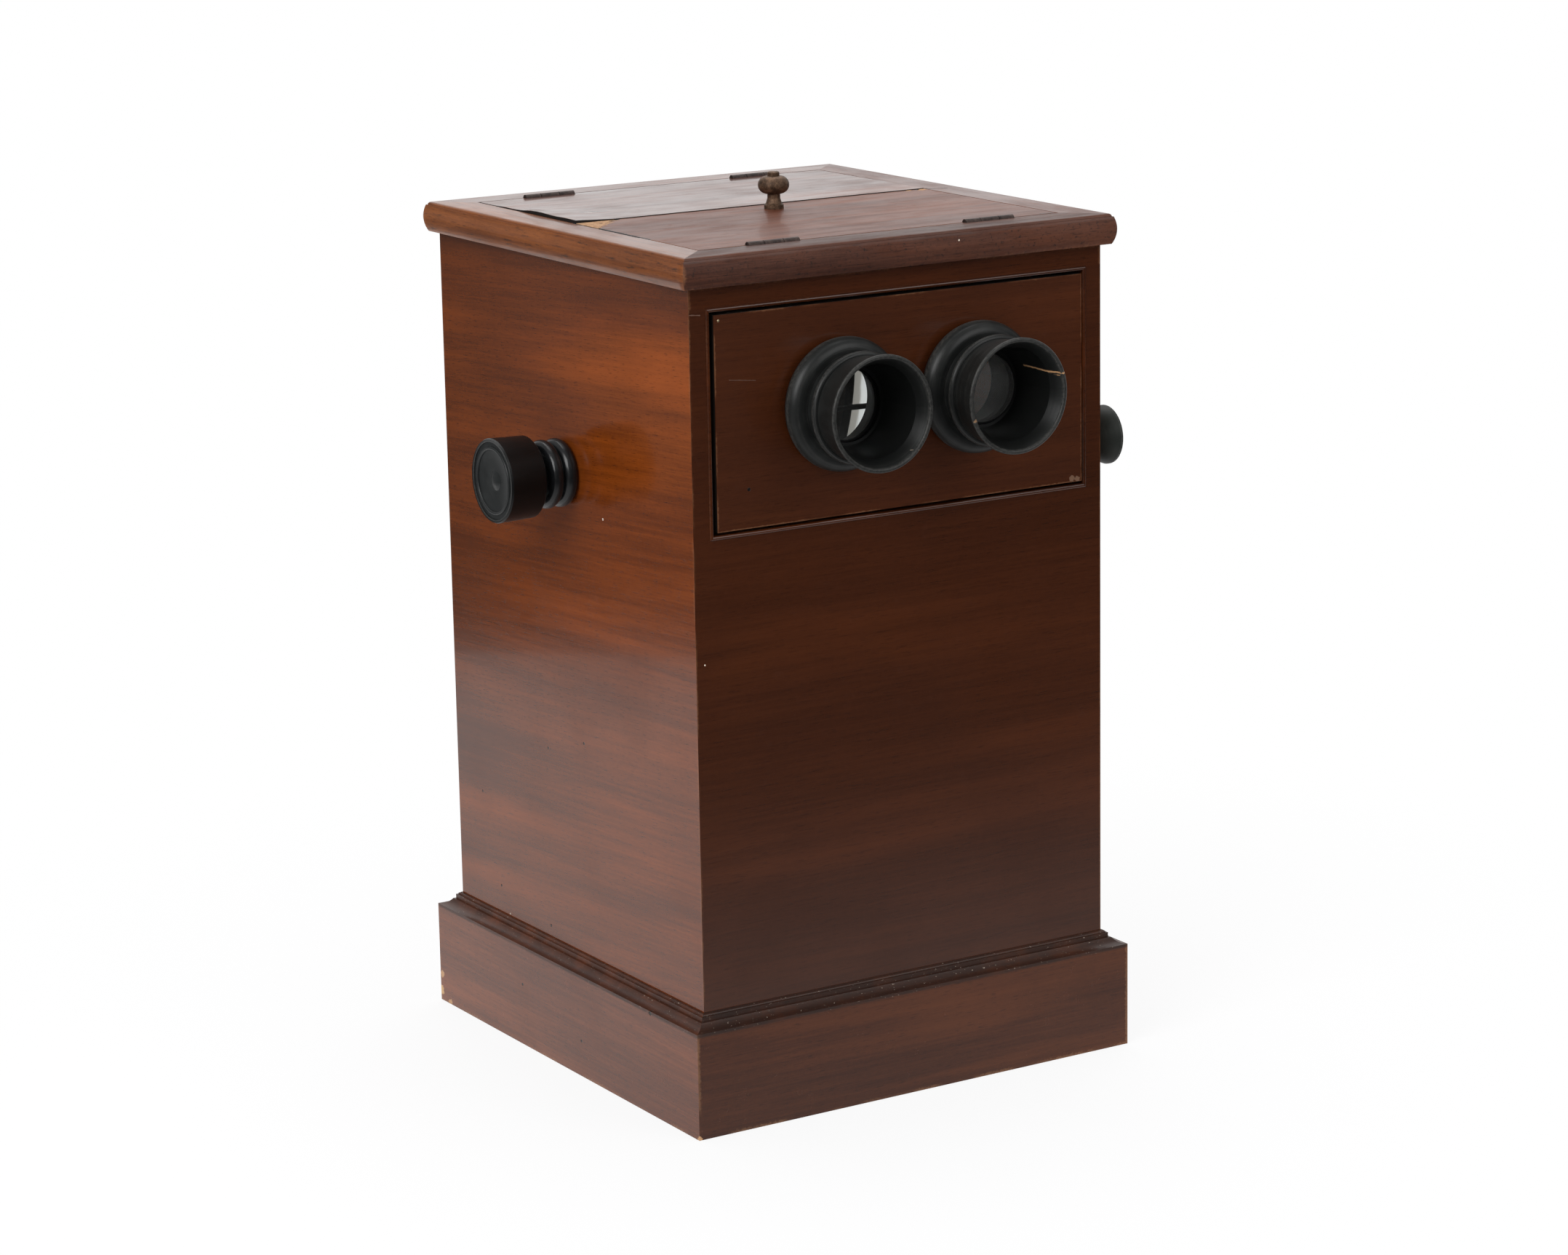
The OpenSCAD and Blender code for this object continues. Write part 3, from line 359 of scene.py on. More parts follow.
def old_metal(name, dark, light, rough, offset, lump=3.0, metallic=0.9):
    """Metal with uneven tarnish."""
    material, f = new_finish(name)
    stain = f.noise([lump * MM] * 3, 5, 0.65, offset)
    grit = f.noise([0.5 * MM] * 3, 3, 0.6, offset + 6)
    tone = (stain * 0.8 + grit * 0.3).between(0.4, 0.75)
    f.close(f.skin(f.mix(tone, dark, light), grit, 0.00008, metallic=(1 - tone * 0.2) * metallic,
                   roughness=rough + stain * 0.25))
    return material


def lens_glass(name, node, offset, film):
    """Polished glass with a film of dust and a blacked edge."""
    clear_radius, black_radius = 15.9, 16.4
    material, f = new_finish(name)
    low, high = box_of(node)
    middle = [(a + b) / 2 for a, b in zip(low, high)]
    across = f.vector("MULTIPLY", f.vector("SUBTRACT", f.place, middle), (1, 0, 1))
    edge = f.vector("LENGTH", across, output="Value").between(clear_radius * MM, black_radius * MM)
    dust = f.noise([1.5 * MM] * 3, 5, 0.7, offset).between(0.62, 0.85)
    clear = f.skin(f.mix(dust * 0.2, (0.90, 0.92, 0.90), (0.70, 0.69, 0.66)), roughness=dust * 0.08,
                   transmission_weight=1.0, ior=1.5)
    black = f.skin(f.mix(dust, (0.006, 0.006, 0.006), (0.03, 0.03, 0.028)), roughness=0.6,
                   specular_ior_level=0.1)
    grey = f.skin(f.mix(dust, (0.20, 0.20, 0.19), (0.34, 0.33, 0.31)), roughness=0.9,
                  specular_ior_level=0.1)
    f.close(f.blend(edge, f.blend(dust * 0.1 + film, clear, grey), black))
    return material


def ground_glass(name):
    """Glass ground all over, so that it glows evenly with daylight, and dirty along its two sides."""
    clean_x, dirty_x = 84.2, 86.4
    material, f = new_finish(name)
    grain = f.noise([0.4 * MM] * 3, 3, 0.6, 3)
    film = f.noise([30 * MM] * 3, 4, 0.6, 8).between(0.5, 0.8) * 0.3
    edge = f.axis(0).maths("ABSOLUTE") + (f.noise([5 * MM] * 3, 3, 0.6, 4) - 0.5) * (3 * MM)
    film = film.most(edge.between(clean_x * MM, dirty_x * MM) * 0.95)
    f.close(f.skin(f.mix(film, (0.95, 0.97, 0.97), (0.42, 0.40, 0.37)), grain, 0.00003,
                   roughness=grain * 0.15 + 0.5, transmission_weight=0.92, ior=1.45))
    return material


def silvered(name):
    """Old mirror glass with foxed silver."""
    material, f = new_finish(name)
    fox = f.noise([2.5 * MM] * 3, 5, 0.7, 2).between(0.6, 0.78)
    edge = f.near_arris(box_of("lid_mirror"), 6 * MM, f.noise([4 * MM] * 3, 3, 0.6, 5))
    fox = fox.most(edge * 0.6)
    f.close(f.skin(f.mix(fox, (0.80, 0.82, 0.81), (0.16, 0.13, 0.10)), metallic=1 - fox * 0.7,
                   roughness=fox * 0.4 + 0.04))
    return material


def woven_tape(name):
    """Linen tape: threads along it and across it."""
    material, f = new_finish(name)
    thread_pitch = 0.9 * MM
    turn = 2 * math.pi / thread_pitch
    warp = (f.axis(0) * turn).maths("SINE")
    weft = ((f.axis(1) + f.axis(2)) * turn).maths("SINE")
    weave = warp.most(weft)
    dirt = f.noise([8 * MM] * 3, 4, 0.6, 2)
    base = f.mix(dirt.between(0.35, 0.75), (0.40, 0.33, 0.22), (0.20, 0.155, 0.095))
    base = f.mix(weave.between(-0.2, 0.9) * 0.4, base, (0.10, 0.08, 0.05))
    f.close(f.skin(base, weave, 0.0002, roughness=dirt * 0.1 + 0.82))
    return material


def give(material, *names):
    """Gives a finish to CAD pieces through their material slots."""
    for name in names:
        for slot in NODES[name].material_slots:
            slot.material = material


def finish_board(node, name, grain, tones, offset, **look):
    """Gives one board a polished finish of its own."""
    give(polished_wood(name, node, grain, tones, offset, **look), node)


# Tones of the case's boards: deep streaks, light wood and fiery bands. The front faces' tones are darker
# copies of the mahogany, with painted shade, and the left top rail's a lighter copy, with painted light.

SIDE = ((0.082, 0.0175, 0.0028), (0.196, 0.0425, 0.0050), (0.310, 0.0660, 0.0065))
# The front faces: the mahogany's tones darkened with painted shade
FRONT_SHADED = ((0.028, 0.0068, 0.0018), (0.054, 0.0135, 0.0034), (0.074, 0.0180, 0.0042))
# The lens panel, a front face: tones darkened with painted shade
PANEL_SHADED = ((0.034, 0.0088, 0.0026), (0.064, 0.0165, 0.0046), (0.084, 0.0210, 0.0054))
PLINTH = ((0.080, 0.0200, 0.0065), (0.180, 0.0480, 0.0150), (0.230, 0.0600, 0.0170))
# The plinth's front: tones darkened with painted shade
PLINTH_FRONT_SHADED = ((0.034, 0.0085, 0.0028), (0.074, 0.0200, 0.0060), (0.100, 0.0270, 0.0070))
# The left top rail: the mahogany's tones lightened with painted light
SLAB_LEFT_LIT = ((0.085, 0.0225, 0.0055), (0.235, 0.0700, 0.0145), (0.340, 0.1050, 0.0200))
TOP = ((0.060, 0.0170, 0.0085), (0.165, 0.050, 0.0220), (0.200, 0.060, 0.0240))
# The top's front rail: tones darkened with painted shade
TOP_FRONT_SHADED = ((0.036, 0.0115, 0.0065), (0.100, 0.033, 0.0165), (0.130, 0.042, 0.0180))
BARE = (0.46, 0.26, 0.13)
PALE = (0.62, 0.52, 0.42)
# The dark of dirt, also used as painted shade on the back flap's raised edges
GRIME_AND_SHADE = (0.010, 0.007, 0.006)

# Faces that carry the marks of use, in millimetres

FRONT_Y = corner("front_board", 0)[1]
SIDE_X = corner("side_board_left", 0)[0]
TOP_Z = corner("lid_front", 1)[2]
PLINTH_X, PLINTH_Y = corner("plinth_left", 0)[:2]
case_box = box_of("side_board_left", "side_board_right", "front_board", "front_top_rail", "back_board")
plinth_box = box_of("plinth_front", "plinth_back", "plinth_left", "plinth_right")
top_box = box_of("top_rail_front", "top_rail_back", "top_rail_left", "top_rail_right")


# Each board's own marks, painted shade among them on some boards, take its finish so far and give it back
# with the marks in it

def side_painted_shade(f, ragged, wood, rough, height, polish):
    """Painted shade towards the back of the side, and a painted shadow under the top's overhang."""
    towards_back = f.axis(1).between(-80 * MM, 130 * MM)
    under_top = f.axis(2).between(372 * MM, 393 * MM)
    # Painted shade towards the back and a painted shadow under the top
    shade = towards_back * 0.34 + under_top * 0.30
    return f.mix(shade, wood, (0.020, 0.0060, 0.0022)), rough, height, polish


worm_places = ((23.6, 153.0), (-11.9, 162.7), (93.0, 116.0), (76.3, 71.1), (26.0, 63.0))
finish_board("side_board_left", "side_left_mahogany", "Y", SIDE, 1.0, box=case_box, bands=0.6, tilt=0.06,
             holes=[(mm(SIDE_X, y, z), 0.75) for y, z in worm_places], marks=side_painted_shade,
             spots=[(mm(SIDE_X, y, z), 0.6, PALE) for y, z in ((68.2, 58.5), (-36.2, 275.4))])
finish_board("side_board_right", "side_right_mahogany", "Y", SIDE, 31.0, box=case_box, bands=0.7)
finish_board("back_board", "back_mahogany", "X", SIDE, 47.0, box=case_box, gloss=0.22, bands=0.7)
scratch = path((-112.0, FRONT_Y, 381.3), (-106.7, FRONT_Y, 380.8))
finish_board("front_board", "front_mahogany", "X", FRONT_SHADED, 5.0, box=case_box, tilt=0.01, gloss=0.14, calm=0.8,
             wear=0.25, width=0.9, spots=[(mm(-107.9, FRONT_Y, 221.3), 0.5, PALE)],
             strokes=[(scratch, 0.3, (0.12, 0.06, 0.04))])
finish_board("front_top_rail", "rail_mahogany", "X", FRONT_SHADED, 8.0, box=case_box, calm=0.5)
finish_board("opening_beads", "bead_mahogany", "X", FRONT_SHADED, 12.0, width=0.8, wear=0.25)


def panel_marks(f, ragged, wood, rough, height, polish):
    """The panel's edges and back are dark and unpolished."""
    behind = f.axis(1).between((FRONT_Y + 0.2) * MM, (FRONT_Y + 0.6) * MM)
    wood = f.mix(behind, wood, (0.010, 0.006, 0.004))
    return wood, rough + behind * 0.6, height, polish * (1 - behind)


chipped = (0.15, 0.075, 0.04)
scratch = path((-92.0, FRONT_Y, 350.1), (-78.3, FRONT_Y, 348.6))
finish_board("lens_board", "panel_mahogany", "X", PANEL_SHADED, 21.0, width=0.9, wear=0.3, gloss=0.16, calm=0.6,
             marks=panel_marks, holes=[(mm(-82.8, FRONT_Y, 299.2), 0.9)],
             spots=[(mm(96.0, FRONT_Y, 282.9), 1.8, chipped), (mm(99.0, FRONT_Y, 282.4), 1.6, chipped)],
             strokes=[(scratch, 0.22, (0.09, 0.045, 0.028))])


def moulding_grime(f, ragged, wood, rough, height, polish):
    """Dirt and lost polish on the moulding, with pale specks of dust."""
    moulding_foot = 48.8
    moulding = f.axis(2).between(moulding_foot * MM, (moulding_foot + 1.2) * MM)
    dirty = moulding * (f.noise([14 * MM] * 3, 4, 0.65, 70).between(0.25, 0.6) * 0.35 + 0.35)
    specks = moulding * f.noise([0.9 * MM] * 3, 2, 0.5, 74).between(0.70, 0.74)
    wood = f.mix(specks * 0.5, f.mix(dirty, wood, GRIME_AND_SHADE), PALE)
    return wood, rough + moulding * 0.15, height, polish * (1 - dirty)


# The plinth's front takes tones darkened with painted shade
PLINTH_SIDES = (("plinth_front", "X", PLINTH_FRONT_SHADED, 0.05), ("plinth_back", "X", PLINTH, 0.2),
                ("plinth_left", "Y", PLINTH, 0.2), ("plinth_right", "Y", PLINTH, 0.2))
plinth_chips = [(mm(PLINTH_X, 126.0, 14.0), 2.2, BARE), (mm(PLINTH_X, 127.5, 5.0), 3.0, (0.55, 0.33, 0.15)),
                (mm(PLINTH_X, 118.0, 1.0), 2.0, BARE), (mm(PLINTH_X, PLINTH_Y, 0.5), 1.8, BARE)]
plinth_holes = [(mm(PLINTH_X, -18.1, 17.9), 0.8), (mm(PLINTH_X, 40.0, 31.0), 0.8),
                (mm(PLINTH_X + 0.9, -85.0, 49.9), 1.5)]
for i, (name, grain, tones, coat) in enumerate(PLINTH_SIDES):
    finish_board(name, name + "_mahogany", grain, tones, 60.0 + 7 * i, box=plinth_box, gloss=0.18, coat=coat,
                 wear=0.35, bare=(0.34, 0.17, 0.08), width=1.9, scuff=0.6, spots=plinth_chips,
                 holes=plinth_holes, marks=moulding_grime)


def rail_marks(f, ragged, wood, rough, height, polish):
    """Dirt by the flap's left edge and the seam's right end, scrapes round the rim and a dull front."""
    by_flap = f.line(path((-98.3, 8.0, TOP_Z), (-98.3, -52.0, TOP_Z)), 1.3 * MM, ragged)
    by_seam = f.line(path((97.8, 8.0, TOP_Z), (102.5, 4.5, TOP_Z), (108.0, 3.0, TOP_Z)), 0.7 * MM, ragged)
    dirt = by_flap.most(by_seam)
    below = f.axis(2).between((TOP_Z - 1.9) * MM, (TOP_Z - 2.9) * MM)
    scrape = f.noise([2 * MM, 14 * MM, 1.5 * MM], 4, 0.65, 40).between(0.56, 0.68) * below
    wood = f.mix(dirt.most(scrape * 0.7), wood, GRIME_AND_SHADE)
    dull = below * f.axis(1).between(-118 * MM, -122 * MM)
    return wood, rough + dirt * 0.3 + dull * 0.15, height - dirt, polish * (1 - dirt.most(dull * 0.8))


# The front rail takes tones darkened with painted shade, the left rail tones lightened with painted light
TOP_SIDES = (("top_rail_front", "X", TOP_FRONT_SHADED, 0.38, 0.04, 0.5),
             ("top_rail_back", "X", TOP, 0.24, 0.5, 0.25),
             ("top_rail_left", "Y", SLAB_LEFT_LIT, 0.28, 0.4, 0.25),
             ("top_rail_right", "Y", TOP, 0.28, 0.3, 0.3))
for i, (name, grain, tones, gloss, coat, dulled) in enumerate(TOP_SIDES):
    finish_board(name, name + "_mahogany", grain, tones, 90.0 + 5 * i, box=top_box, gloss=gloss, coat=coat,
                 wear=0.45, width=2.4, bare=(0.30, 0.125, 0.055), scuff=0.7, dulled=dulled, marks=rail_marks,
                 spots=[(mm(28.9, -124.0, 402.9), 0.6, PALE)])


def front_flap_marks(f, ragged, wood, rough, height, polish):
    """A torn corner and pits at the seam's left end, chips at its right end, and dirt at two edges."""
    left_x = corner("lid_front", 0)[0]
    seam_y = corner("lid_front", 1)[1]
    torn_w, torn_d = 24 * MM, 22 * MM

    def dots(*places):
        """1 within round marks on the flap, each an X, a Y and a radius in millimetres."""
        masks = [f.spot(mm(x, y, TOP_Z), radius * MM, ragged) for x, y, radius in places]
        together = masks[0]
        for mask in masks[1:]:
            together = together.most(mask)
        return together

    torn = (f.axis(0) - left_x * MM) / torn_w + (seam_y * MM - f.axis(1)) / torn_d + (ragged - 0.5) * 0.7
    torn = torn.between(1.0, 0.88) * f.axis(2).between((TOP_Z - 1) * MM, (TOP_Z - 0.5) * MM)
    torn_wood = f.mix(ragged.between(0.35, 0.7), (0.44, 0.27, 0.15), (0.27, 0.14, 0.07))
    chips = dots((95.0, 6.0, 2.8), (88.0, 7.0, 1.5))
    pits = dots((-80.5, 4.6, 1.5), (-76.5, 7.0, 1.6), (-88.5, 0.5, 0.9), (93.0, 7.4, 1.6))
    left_dirt = f.line(path((-97.6, -14.0, TOP_Z), (-97.6, -60.0, TOP_Z)), 0.8 * MM, ragged)
    front_dirt = f.line(path((90.0, -101.5, TOP_Z), (96.0, -102.5, TOP_Z)), 0.8 * MM, ragged)
    dark = pits.most(left_dirt).most(front_dirt)
    wood = f.mix(dark, f.mix(chips, f.mix(torn, wood, torn_wood), BARE), GRIME_AND_SHADE)
    rough = rough + torn * 0.5 + chips * 0.3
    height = height - torn * 3 - chips * 2 - dark * 2
    return wood, rough, height, polish * (1 - torn.most(chips))


finish_board("lid_front", "front_flap_mahogany", "X", TOP, 120.0, gloss=0.36, coat=0.10, wear=0.3, width=0.9,
             scuff=0.8, dulled=0.36, marks=front_flap_marks)


def back_flap_marks(f, ragged, wood, rough, height, polish):
    """Painted shade on the edge faces at the seam and at the left, and a raised blister with a torn edge."""
    # Painted shade: the raised edge faces at the seam and at the left are dark
    edge = f.axis(1).between(9.0 * MM, 8.5 * MM).most(f.axis(0).between(-97.2 * MM, -97.6 * MM))
    blister = f.spot(mm(-75.0, 36.0, 407.6), 3.6 * MM, ragged)
    torn = f.line(path((-78.0, 38.5, 407.8), (-71.0, 37.5, 407.6), (-66.0, 36.0, 407.6)), 1.2 * MM, ragged)
    wood = f.mix(blister * 0.5, wood, (0.30, 0.22, 0.18))
    wood = f.mix(edge.most(torn), wood, GRIME_AND_SHADE)
    return wood, rough + edge * 0.5, height + blister * 4 - torn * 2, polish * (1 - edge)


back_flap_wood = polished_wood("back_flap_mahogany", "lid_back", "X", TOP, 133.0, gloss=0.26, coat=0.6,
                               wear=0.2, width=0.9, scuff=0.8, dulled=0.26, marks=back_flap_marks)
give(back_flap_wood, "lid_back")

# Inside the case

INNER = ((0.030, 0.019, 0.012), (0.085, 0.055, 0.036))
give(plain_wood("case_lining_x", "X", *INNER, 3.0), "bottom_board", "glass_beads")
give(plain_wood("case_lining_y", "Y", *INNER, 6.0), "floor_battens", "slide_rails")
give(plain_wood("roller_wood", "X", (0.05, 0.03, 0.02), (0.13, 0.08, 0.05), 9.0),
     "upper_pulleys", "lower_pulleys")
blackened = plain_wood("blackened_wood", "X", (0.010, 0.009, 0.008), (0.026, 0.022, 0.019), 12.0, 0.85)
give(blackened, "lens_box_cheeks", "lens_box_top", "lens_box_bottom")

# Turned pieces


def cup_bore_shade(radius, along):
    """1 within the eyepiece's bore, which widens into the rim, where shade is painted."""
    bore_r, flare_start, flare_slope = 22.9, 31, 0.34
    mouth = (along * -1 - flare_start * MM).most(0) * flare_slope
    return (bore_r * MM + mouth - radius).between(0, 0.8 * MM)


def right_cup_marks(f, ragged, base, height):
    """A crack from the bore over the rim, and a chip."""
    main = path((56.8, -135.4, 343.7), (58.3, -143.0, 343.2), (59.5, -149.4, 342.5), (62.7, -154.8, 342.3),
                (64.1, -156.4, 342.0), (65.3, -155.3, 341.9), (64.8, -150.0, 341.6))
    branch = path((59.5, -149.4, 342.5), (60.9, -152.0, 341.0), (62.9, -154.8, 340.9))
    crack = f.line(main, 0.62 * MM, ragged).most(f.line(branch, 0.4 * MM, ragged))
    chip = f.spot(mm(15.2, -155.8, 325.1), 1.1 * MM, ragged)
    base = f.mix(crack.most(chip * 0.6), base, (0.34, 0.19, 0.09))
    return base, height - crack * 6 - chip * 3


def left_cup_marks(f, ragged, base, height):
    """A scratch by the rim."""
    scratch = f.line(path((-19.0, -154.1, 315.3), (-15.8, -156.4, 315.3)), 0.35 * MM, ragged)
    return f.mix(scratch * 0.8, base, (0.16, 0.13, 0.10)), height - scratch * 3


rim_edge, flange_edge, groove_edge = (-37.4, 1.2, 24.6), (-5.5, 2.5, 30.2), (-19.0, 1.2, 25.0)
for name, marks in (("eyecup_left", left_cup_marks), ("eyecup_right", right_cup_marks)):
    eye_x, _, eye_z = middle_of(name)
    # Inside the bore the tone is cut to 0.6, a painted shade
    give(ebonised(name + "_black", (0.0085, 0.0092, 0.0088), 0.30, eye_x, mm(eye_x, FRONT_Y, eye_z), "Y",
                  scratched=0.7, rubbed=[rim_edge, flange_edge, groove_edge], darker=cup_bore_shade, dark=0.6,
                  marks=marks), name)

give(ebonised("inner_black", (0.010, 0.010, 0.010), 0.45, 5.0, mm(0, FRONT_Y, eye_z), "Y"),
     "lens_retaining_rings", "eyecup_nuts")


def knob_drum_shade(radius, along):
    """1 on the knob's drum, which is painted in shade, darker than its face."""
    face_r, drum_r = 18.6, 19.2
    return radius.between(face_r * MM, drum_r * MM)


transport_centre = mm(SIDE_X, 0, middle_of("upper_axle")[2])
focus_centre = mm(-SIDE_X, *middle_of("focus_shaft")[1:])
give(ebonised("rosette_black", (0.0060, 0.0066, 0.0072), 0.16, 2.0, transport_centre, "X", shine=0.35,
              scratched=0.1), "transport_rosette")
# The knob's drum is painted in shade, its tone cut to 0.2 of the face's
give(ebonised("knob_black", (0.0120, 0.0132, 0.0132), 0.26, 7.0, transport_centre, "X", scratched=0.3,
              rubbed=[(-38.2, 0.7, 18.4)], darker=knob_drum_shade, grooves=0.02), "transport_knob")
give(ebonised("focus_knob_black", (0.017, 0.020, 0.017), 0.42, 9.0, focus_centre, "X",
              rubbed=[(18.0, 0.8, 13.2)]), "focus_knob")

# Metal, glass and tape

give(old_metal("browned_brass", (0.048, 0.027, 0.016), (0.175, 0.100, 0.058), 0.42, 2.0, metallic=0.75),
     "lid_knob")
give(old_metal("aged_brass", (0.055, 0.036, 0.020), (0.24, 0.155, 0.075), 0.32, 2.0), "mirror_clips",
     "shaft_bushes", "axle_collar", "focus_collar", "focus_pinions", "focus_racks")
give(old_metal("browned_iron", (0.022, 0.016, 0.015), (0.075, 0.050, 0.042), 0.42, 4.0, metallic=0.7),
     "hinge_leaves_fixed", "hinge_pins", "hinge_screws_fixed", "front_hinge_leaves", "front_lid_screws",
     "back_hinge_leaves", "back_lid_screws", "card_holders")
give(old_metal("drawn_steel", (0.20, 0.19, 0.18), (0.42, 0.41, 0.40), 0.3, 6.0),
     "upper_axle", "lower_axle", "focus_shaft")
give(lens_glass("left_lens_glass", "lens_left", 3.0, 0.04), "lens_left")
give(lens_glass("right_lens_glass", "lens_right", 3.0, 0.12), "lens_right")
give(ground_glass("frosted_window"), "ground_glass")
give(silvered("silvered_mirror"), "lid_mirror")
give(woven_tape("linen_band"), "card_tapes")


# Small pieces of the scene's own

def piece(name, shape, material, body, stands_for=()):
    """Makes a bmesh a piece that rides on a body and, if need be, stands for CAD pieces."""
    mesh = bpy.data.meshes.new(name)
    shape.to_mesh(mesh)
    shape.free()
    mesh.materials.append(material)
    thing = bpy.data.objects.new(name, mesh)
    bpy.context.collection.objects.link(thing)
    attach(thing, body)
    if stands_for:
        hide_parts(*stands_for)
    return thing


def smooth(thing, degrees):
    """Shades a piece smoothly, with its edges sharp above an angle."""
    thing.data.shade_smooth()
    thing.data.set_sharp_from_angle(angle=math.radians(degrees))


def ease(share):
    """Rises smoothly from 0 to 1 as the share does."""
    share = max(0.0, min(1.0, share))
    return share * share * (3 - 2 * share)


def warped_back_flap():
    """The back flap has lifted a little along the seam and bowed up along its left edge."""
    seam_lift, edge_bow, edge_waver = 0.3, 1.25, 0.28
    shape = bmesh.new()
    shape.from_mesh(NODES["lid_back"].data)
    bmesh.ops.remove_doubles(shape, verts=shape.verts, dist=1e-6)
    # Close cuts over the bowed left end, and cuts over the whole depth
    for axis, start, stop, step in ((0, -97, -70, 3), (1, 12, 102, 5)):
        for cut in range(start, stop, step):
            place, normal = [0, 0, 0], [0, 0, 0]
            place[axis], normal[axis] = cut * MM, 1
            bmesh.ops.bisect_plane(shape, geom=shape.verts[:] + shape.edges[:] + shape.faces[:], dist=1e-7,
                                   plane_co=place, plane_no=normal)
    bmesh.ops.triangulate(shape, faces=shape.faces)
    for v in shape.verts:
        x, y = v.co.x / MM, v.co.y / MM
        seam = seam_lift * ease((80 - y) / 72)
        bow = edge_bow * ease((-72 - x) / 26) * ease((96 - y) / 62) * (0.55 + 0.45 * ease((y - 8) / 16))
        waver = edge_waver * math.sin(y / 6) * ease((-86 - x) / 12) * ease((90 - y) / 20)
        v.co.z += (seam + bow + waver) * MM
    flap = piece("back_flap_warped", shape, back_flap_wood, "back_flap", ["lid_back"])
    smooth(flap, 28)


def turned(profile, place, along, segments=24):
    """A solid turned round an axis from points of radius and length."""
    shape = bmesh.new()
    ring = [shape.verts.new((r * MM, 0, z * MM)) for r, z in profile]
    edges = [shape.edges.new(pair) for pair in zip(ring, ring[1:])]
    bmesh.ops.spin(shape, geom=ring + edges, cent=(0, 0, 0), axis=(0, 0, 1), angle=2 * math.pi,
                   steps=segments, use_merge=True)
    bmesh.ops.remove_doubles(shape, verts=shape.verts, dist=1e-6)
    bmesh.ops.recalc_face_normals(shape, faces=shape.faces)
    turn = Vector((0, 0, 1)).rotation_difference(Vector(along)).to_matrix().to_4x4()
    bmesh.ops.transform(shape, matrix=Matrix.Translation(mm(*place)) @ turn, verts=shape.verts)
    return shape


def slip(low, high, arris, segments=3):
    """A straight moulded slip between two corners, with its arrises rounded."""
    shape = bmesh.new()
    bmesh.ops.create_cube(shape, size=1)
    middle = [(a + b) / 2 for a, b in zip(low, high)]
    bmesh.ops.scale(shape, vec=[(b - a) * MM for a, b in zip(low, high)], verts=shape.verts)
    bmesh.ops.translate(shape, vec=mm(*middle), verts=shape.verts)
    bmesh.ops.bevel(shape, geom=shape.edges[:], offset=arris * MM, offset_type="OFFSET", affect="EDGES",
                    segments=segments, profile=0.5, material=-1)
    return shape


def stay():
    """A thin rail behind the left lens, held by the box's left cheek and by a slender post."""
    cheek_t, rail_t, rail_z, post_x = 4, 1, 320.8, 12
    slope = Matrix.Rotation(math.radians(-5), 3, "Y")
    cheek_x = corner("lens_box_cheeks", 0)[0] + cheek_t
    box_floor_z = corner("lens_box_bottom", 1)[2]
    back_y, box_ceiling_z = corner("lens_box_top", 1)[1], corner("lens_box_top", 0)[2]
    shape = slip((cheek_x, back_y - 3.6, rail_z), (post_x + 1.5, back_y - 1, rail_z + rail_t), 0.25)
    bmesh.ops.rotate(shape, cent=mm(5, back_y - 1.6, rail_z + 0.4), matrix=slope, verts=shape.verts)
    post = slip((post_x, back_y - 4.6, box_floor_z), (post_x + 3, back_y, box_ceiling_z), 0.4)
    spare = bpy.data.meshes.new("post")
    post.to_mesh(spare)
    post.free()
    shape.from_mesh(spare)
    bpy.data.meshes.remove(spare)
    return shape


def panel_pin():
    """A small domed pin in the panel's upper left corner."""
    profile = [(0, 0.35), (0.4, 0.28), (0.62, 0.05), (0.5, -0.1), (0.45, -3), (0, -3.2)]
    place = (corner("lens_board", 0)[0] + 2.4, FRONT_Y, corner("lens_board", 1)[2] - 2.6)
    return turned(profile, place, (0, -1, 0))


def window_slip(side):
    """A thin upright slip at the window's left (-1) or right (1) edge, which closes the view past it."""
    bead_w, slip_w, slip_t = 5, 5.7, 1.5
    low, high = corner("glass_beads", 0), corner("glass_beads", 1)
    edge_x = high[0] - bead_w
    left, right = sorted((side * (edge_x - slip_w), side * edge_x))
    return slip((left, low[1] - slip_t, low[2] + bead_w), (right, low[1], high[2] - bead_w), 0.6)


warped_back_flap()
bright_brass = old_metal("bright_brass", (0.34, 0.26, 0.14), (0.70, 0.60, 0.42), 0.25, 8.0, lump=0.8)
smooth(piece("panel_pin", panel_pin(), bright_brass, "lens_box"), 40)
smooth(piece("box_stay", stay(), blackened, "lens_box"), 40)
for name, side in (("window_slip_left", -1), ("window_slip_right", 1)):
    smooth(piece(name, window_slip(side), blackened, "case"), 40)


# Floor, light and camera

def studio():
    """A white backdrop, which polished surfaces see behind, above and dimly to the left in a dark room."""
    room = bpy.data.worlds.new("studio")
    room.use_nodes = True
    bpy.context.scene.world = room
    f = Finish(room.node_tree, "Generated")

    def rays(kind):
        return f.add("ShaderNodeLightPath", {}, {}, kind)

    def light(tint):
        return f.add("ShaderNodeBackground", {}, {"Color": tint, "Strength": 1.0})

    above_share, left_share = 0.5, 0.24
    behind = f.axis(1).between(-0.1, 0.4) * f.axis(0).between(-0.4, 0.1)
    above = f.axis(2).between(0.15, 0.6) * above_share
    left = f.axis(0).between(-0.455, -0.475) * f.axis(2).between(-0.225, -0.165) * left_share
    mirrored = light(f.mix(behind.most(above).most(left), (0.05, 0.05, 0.051), (1, 1, 1)))
    soft = light((0.58, 0.58, 0.59, 1))
    white = light((1, 1, 1, 1))
    seen = f.blend(rays("Is Glossy Ray").most(rays("Is Transmission Ray")), soft, mirrored)
    # Light through glass is white only where it comes from behind the case
    through = rays("Is Transmission Ray") * f.axis(1).between(-0.2, 0.1)
    f.close(f.blend(rays("Is Camera Ray").most(through), seen, white), "ShaderNodeOutputWorld")


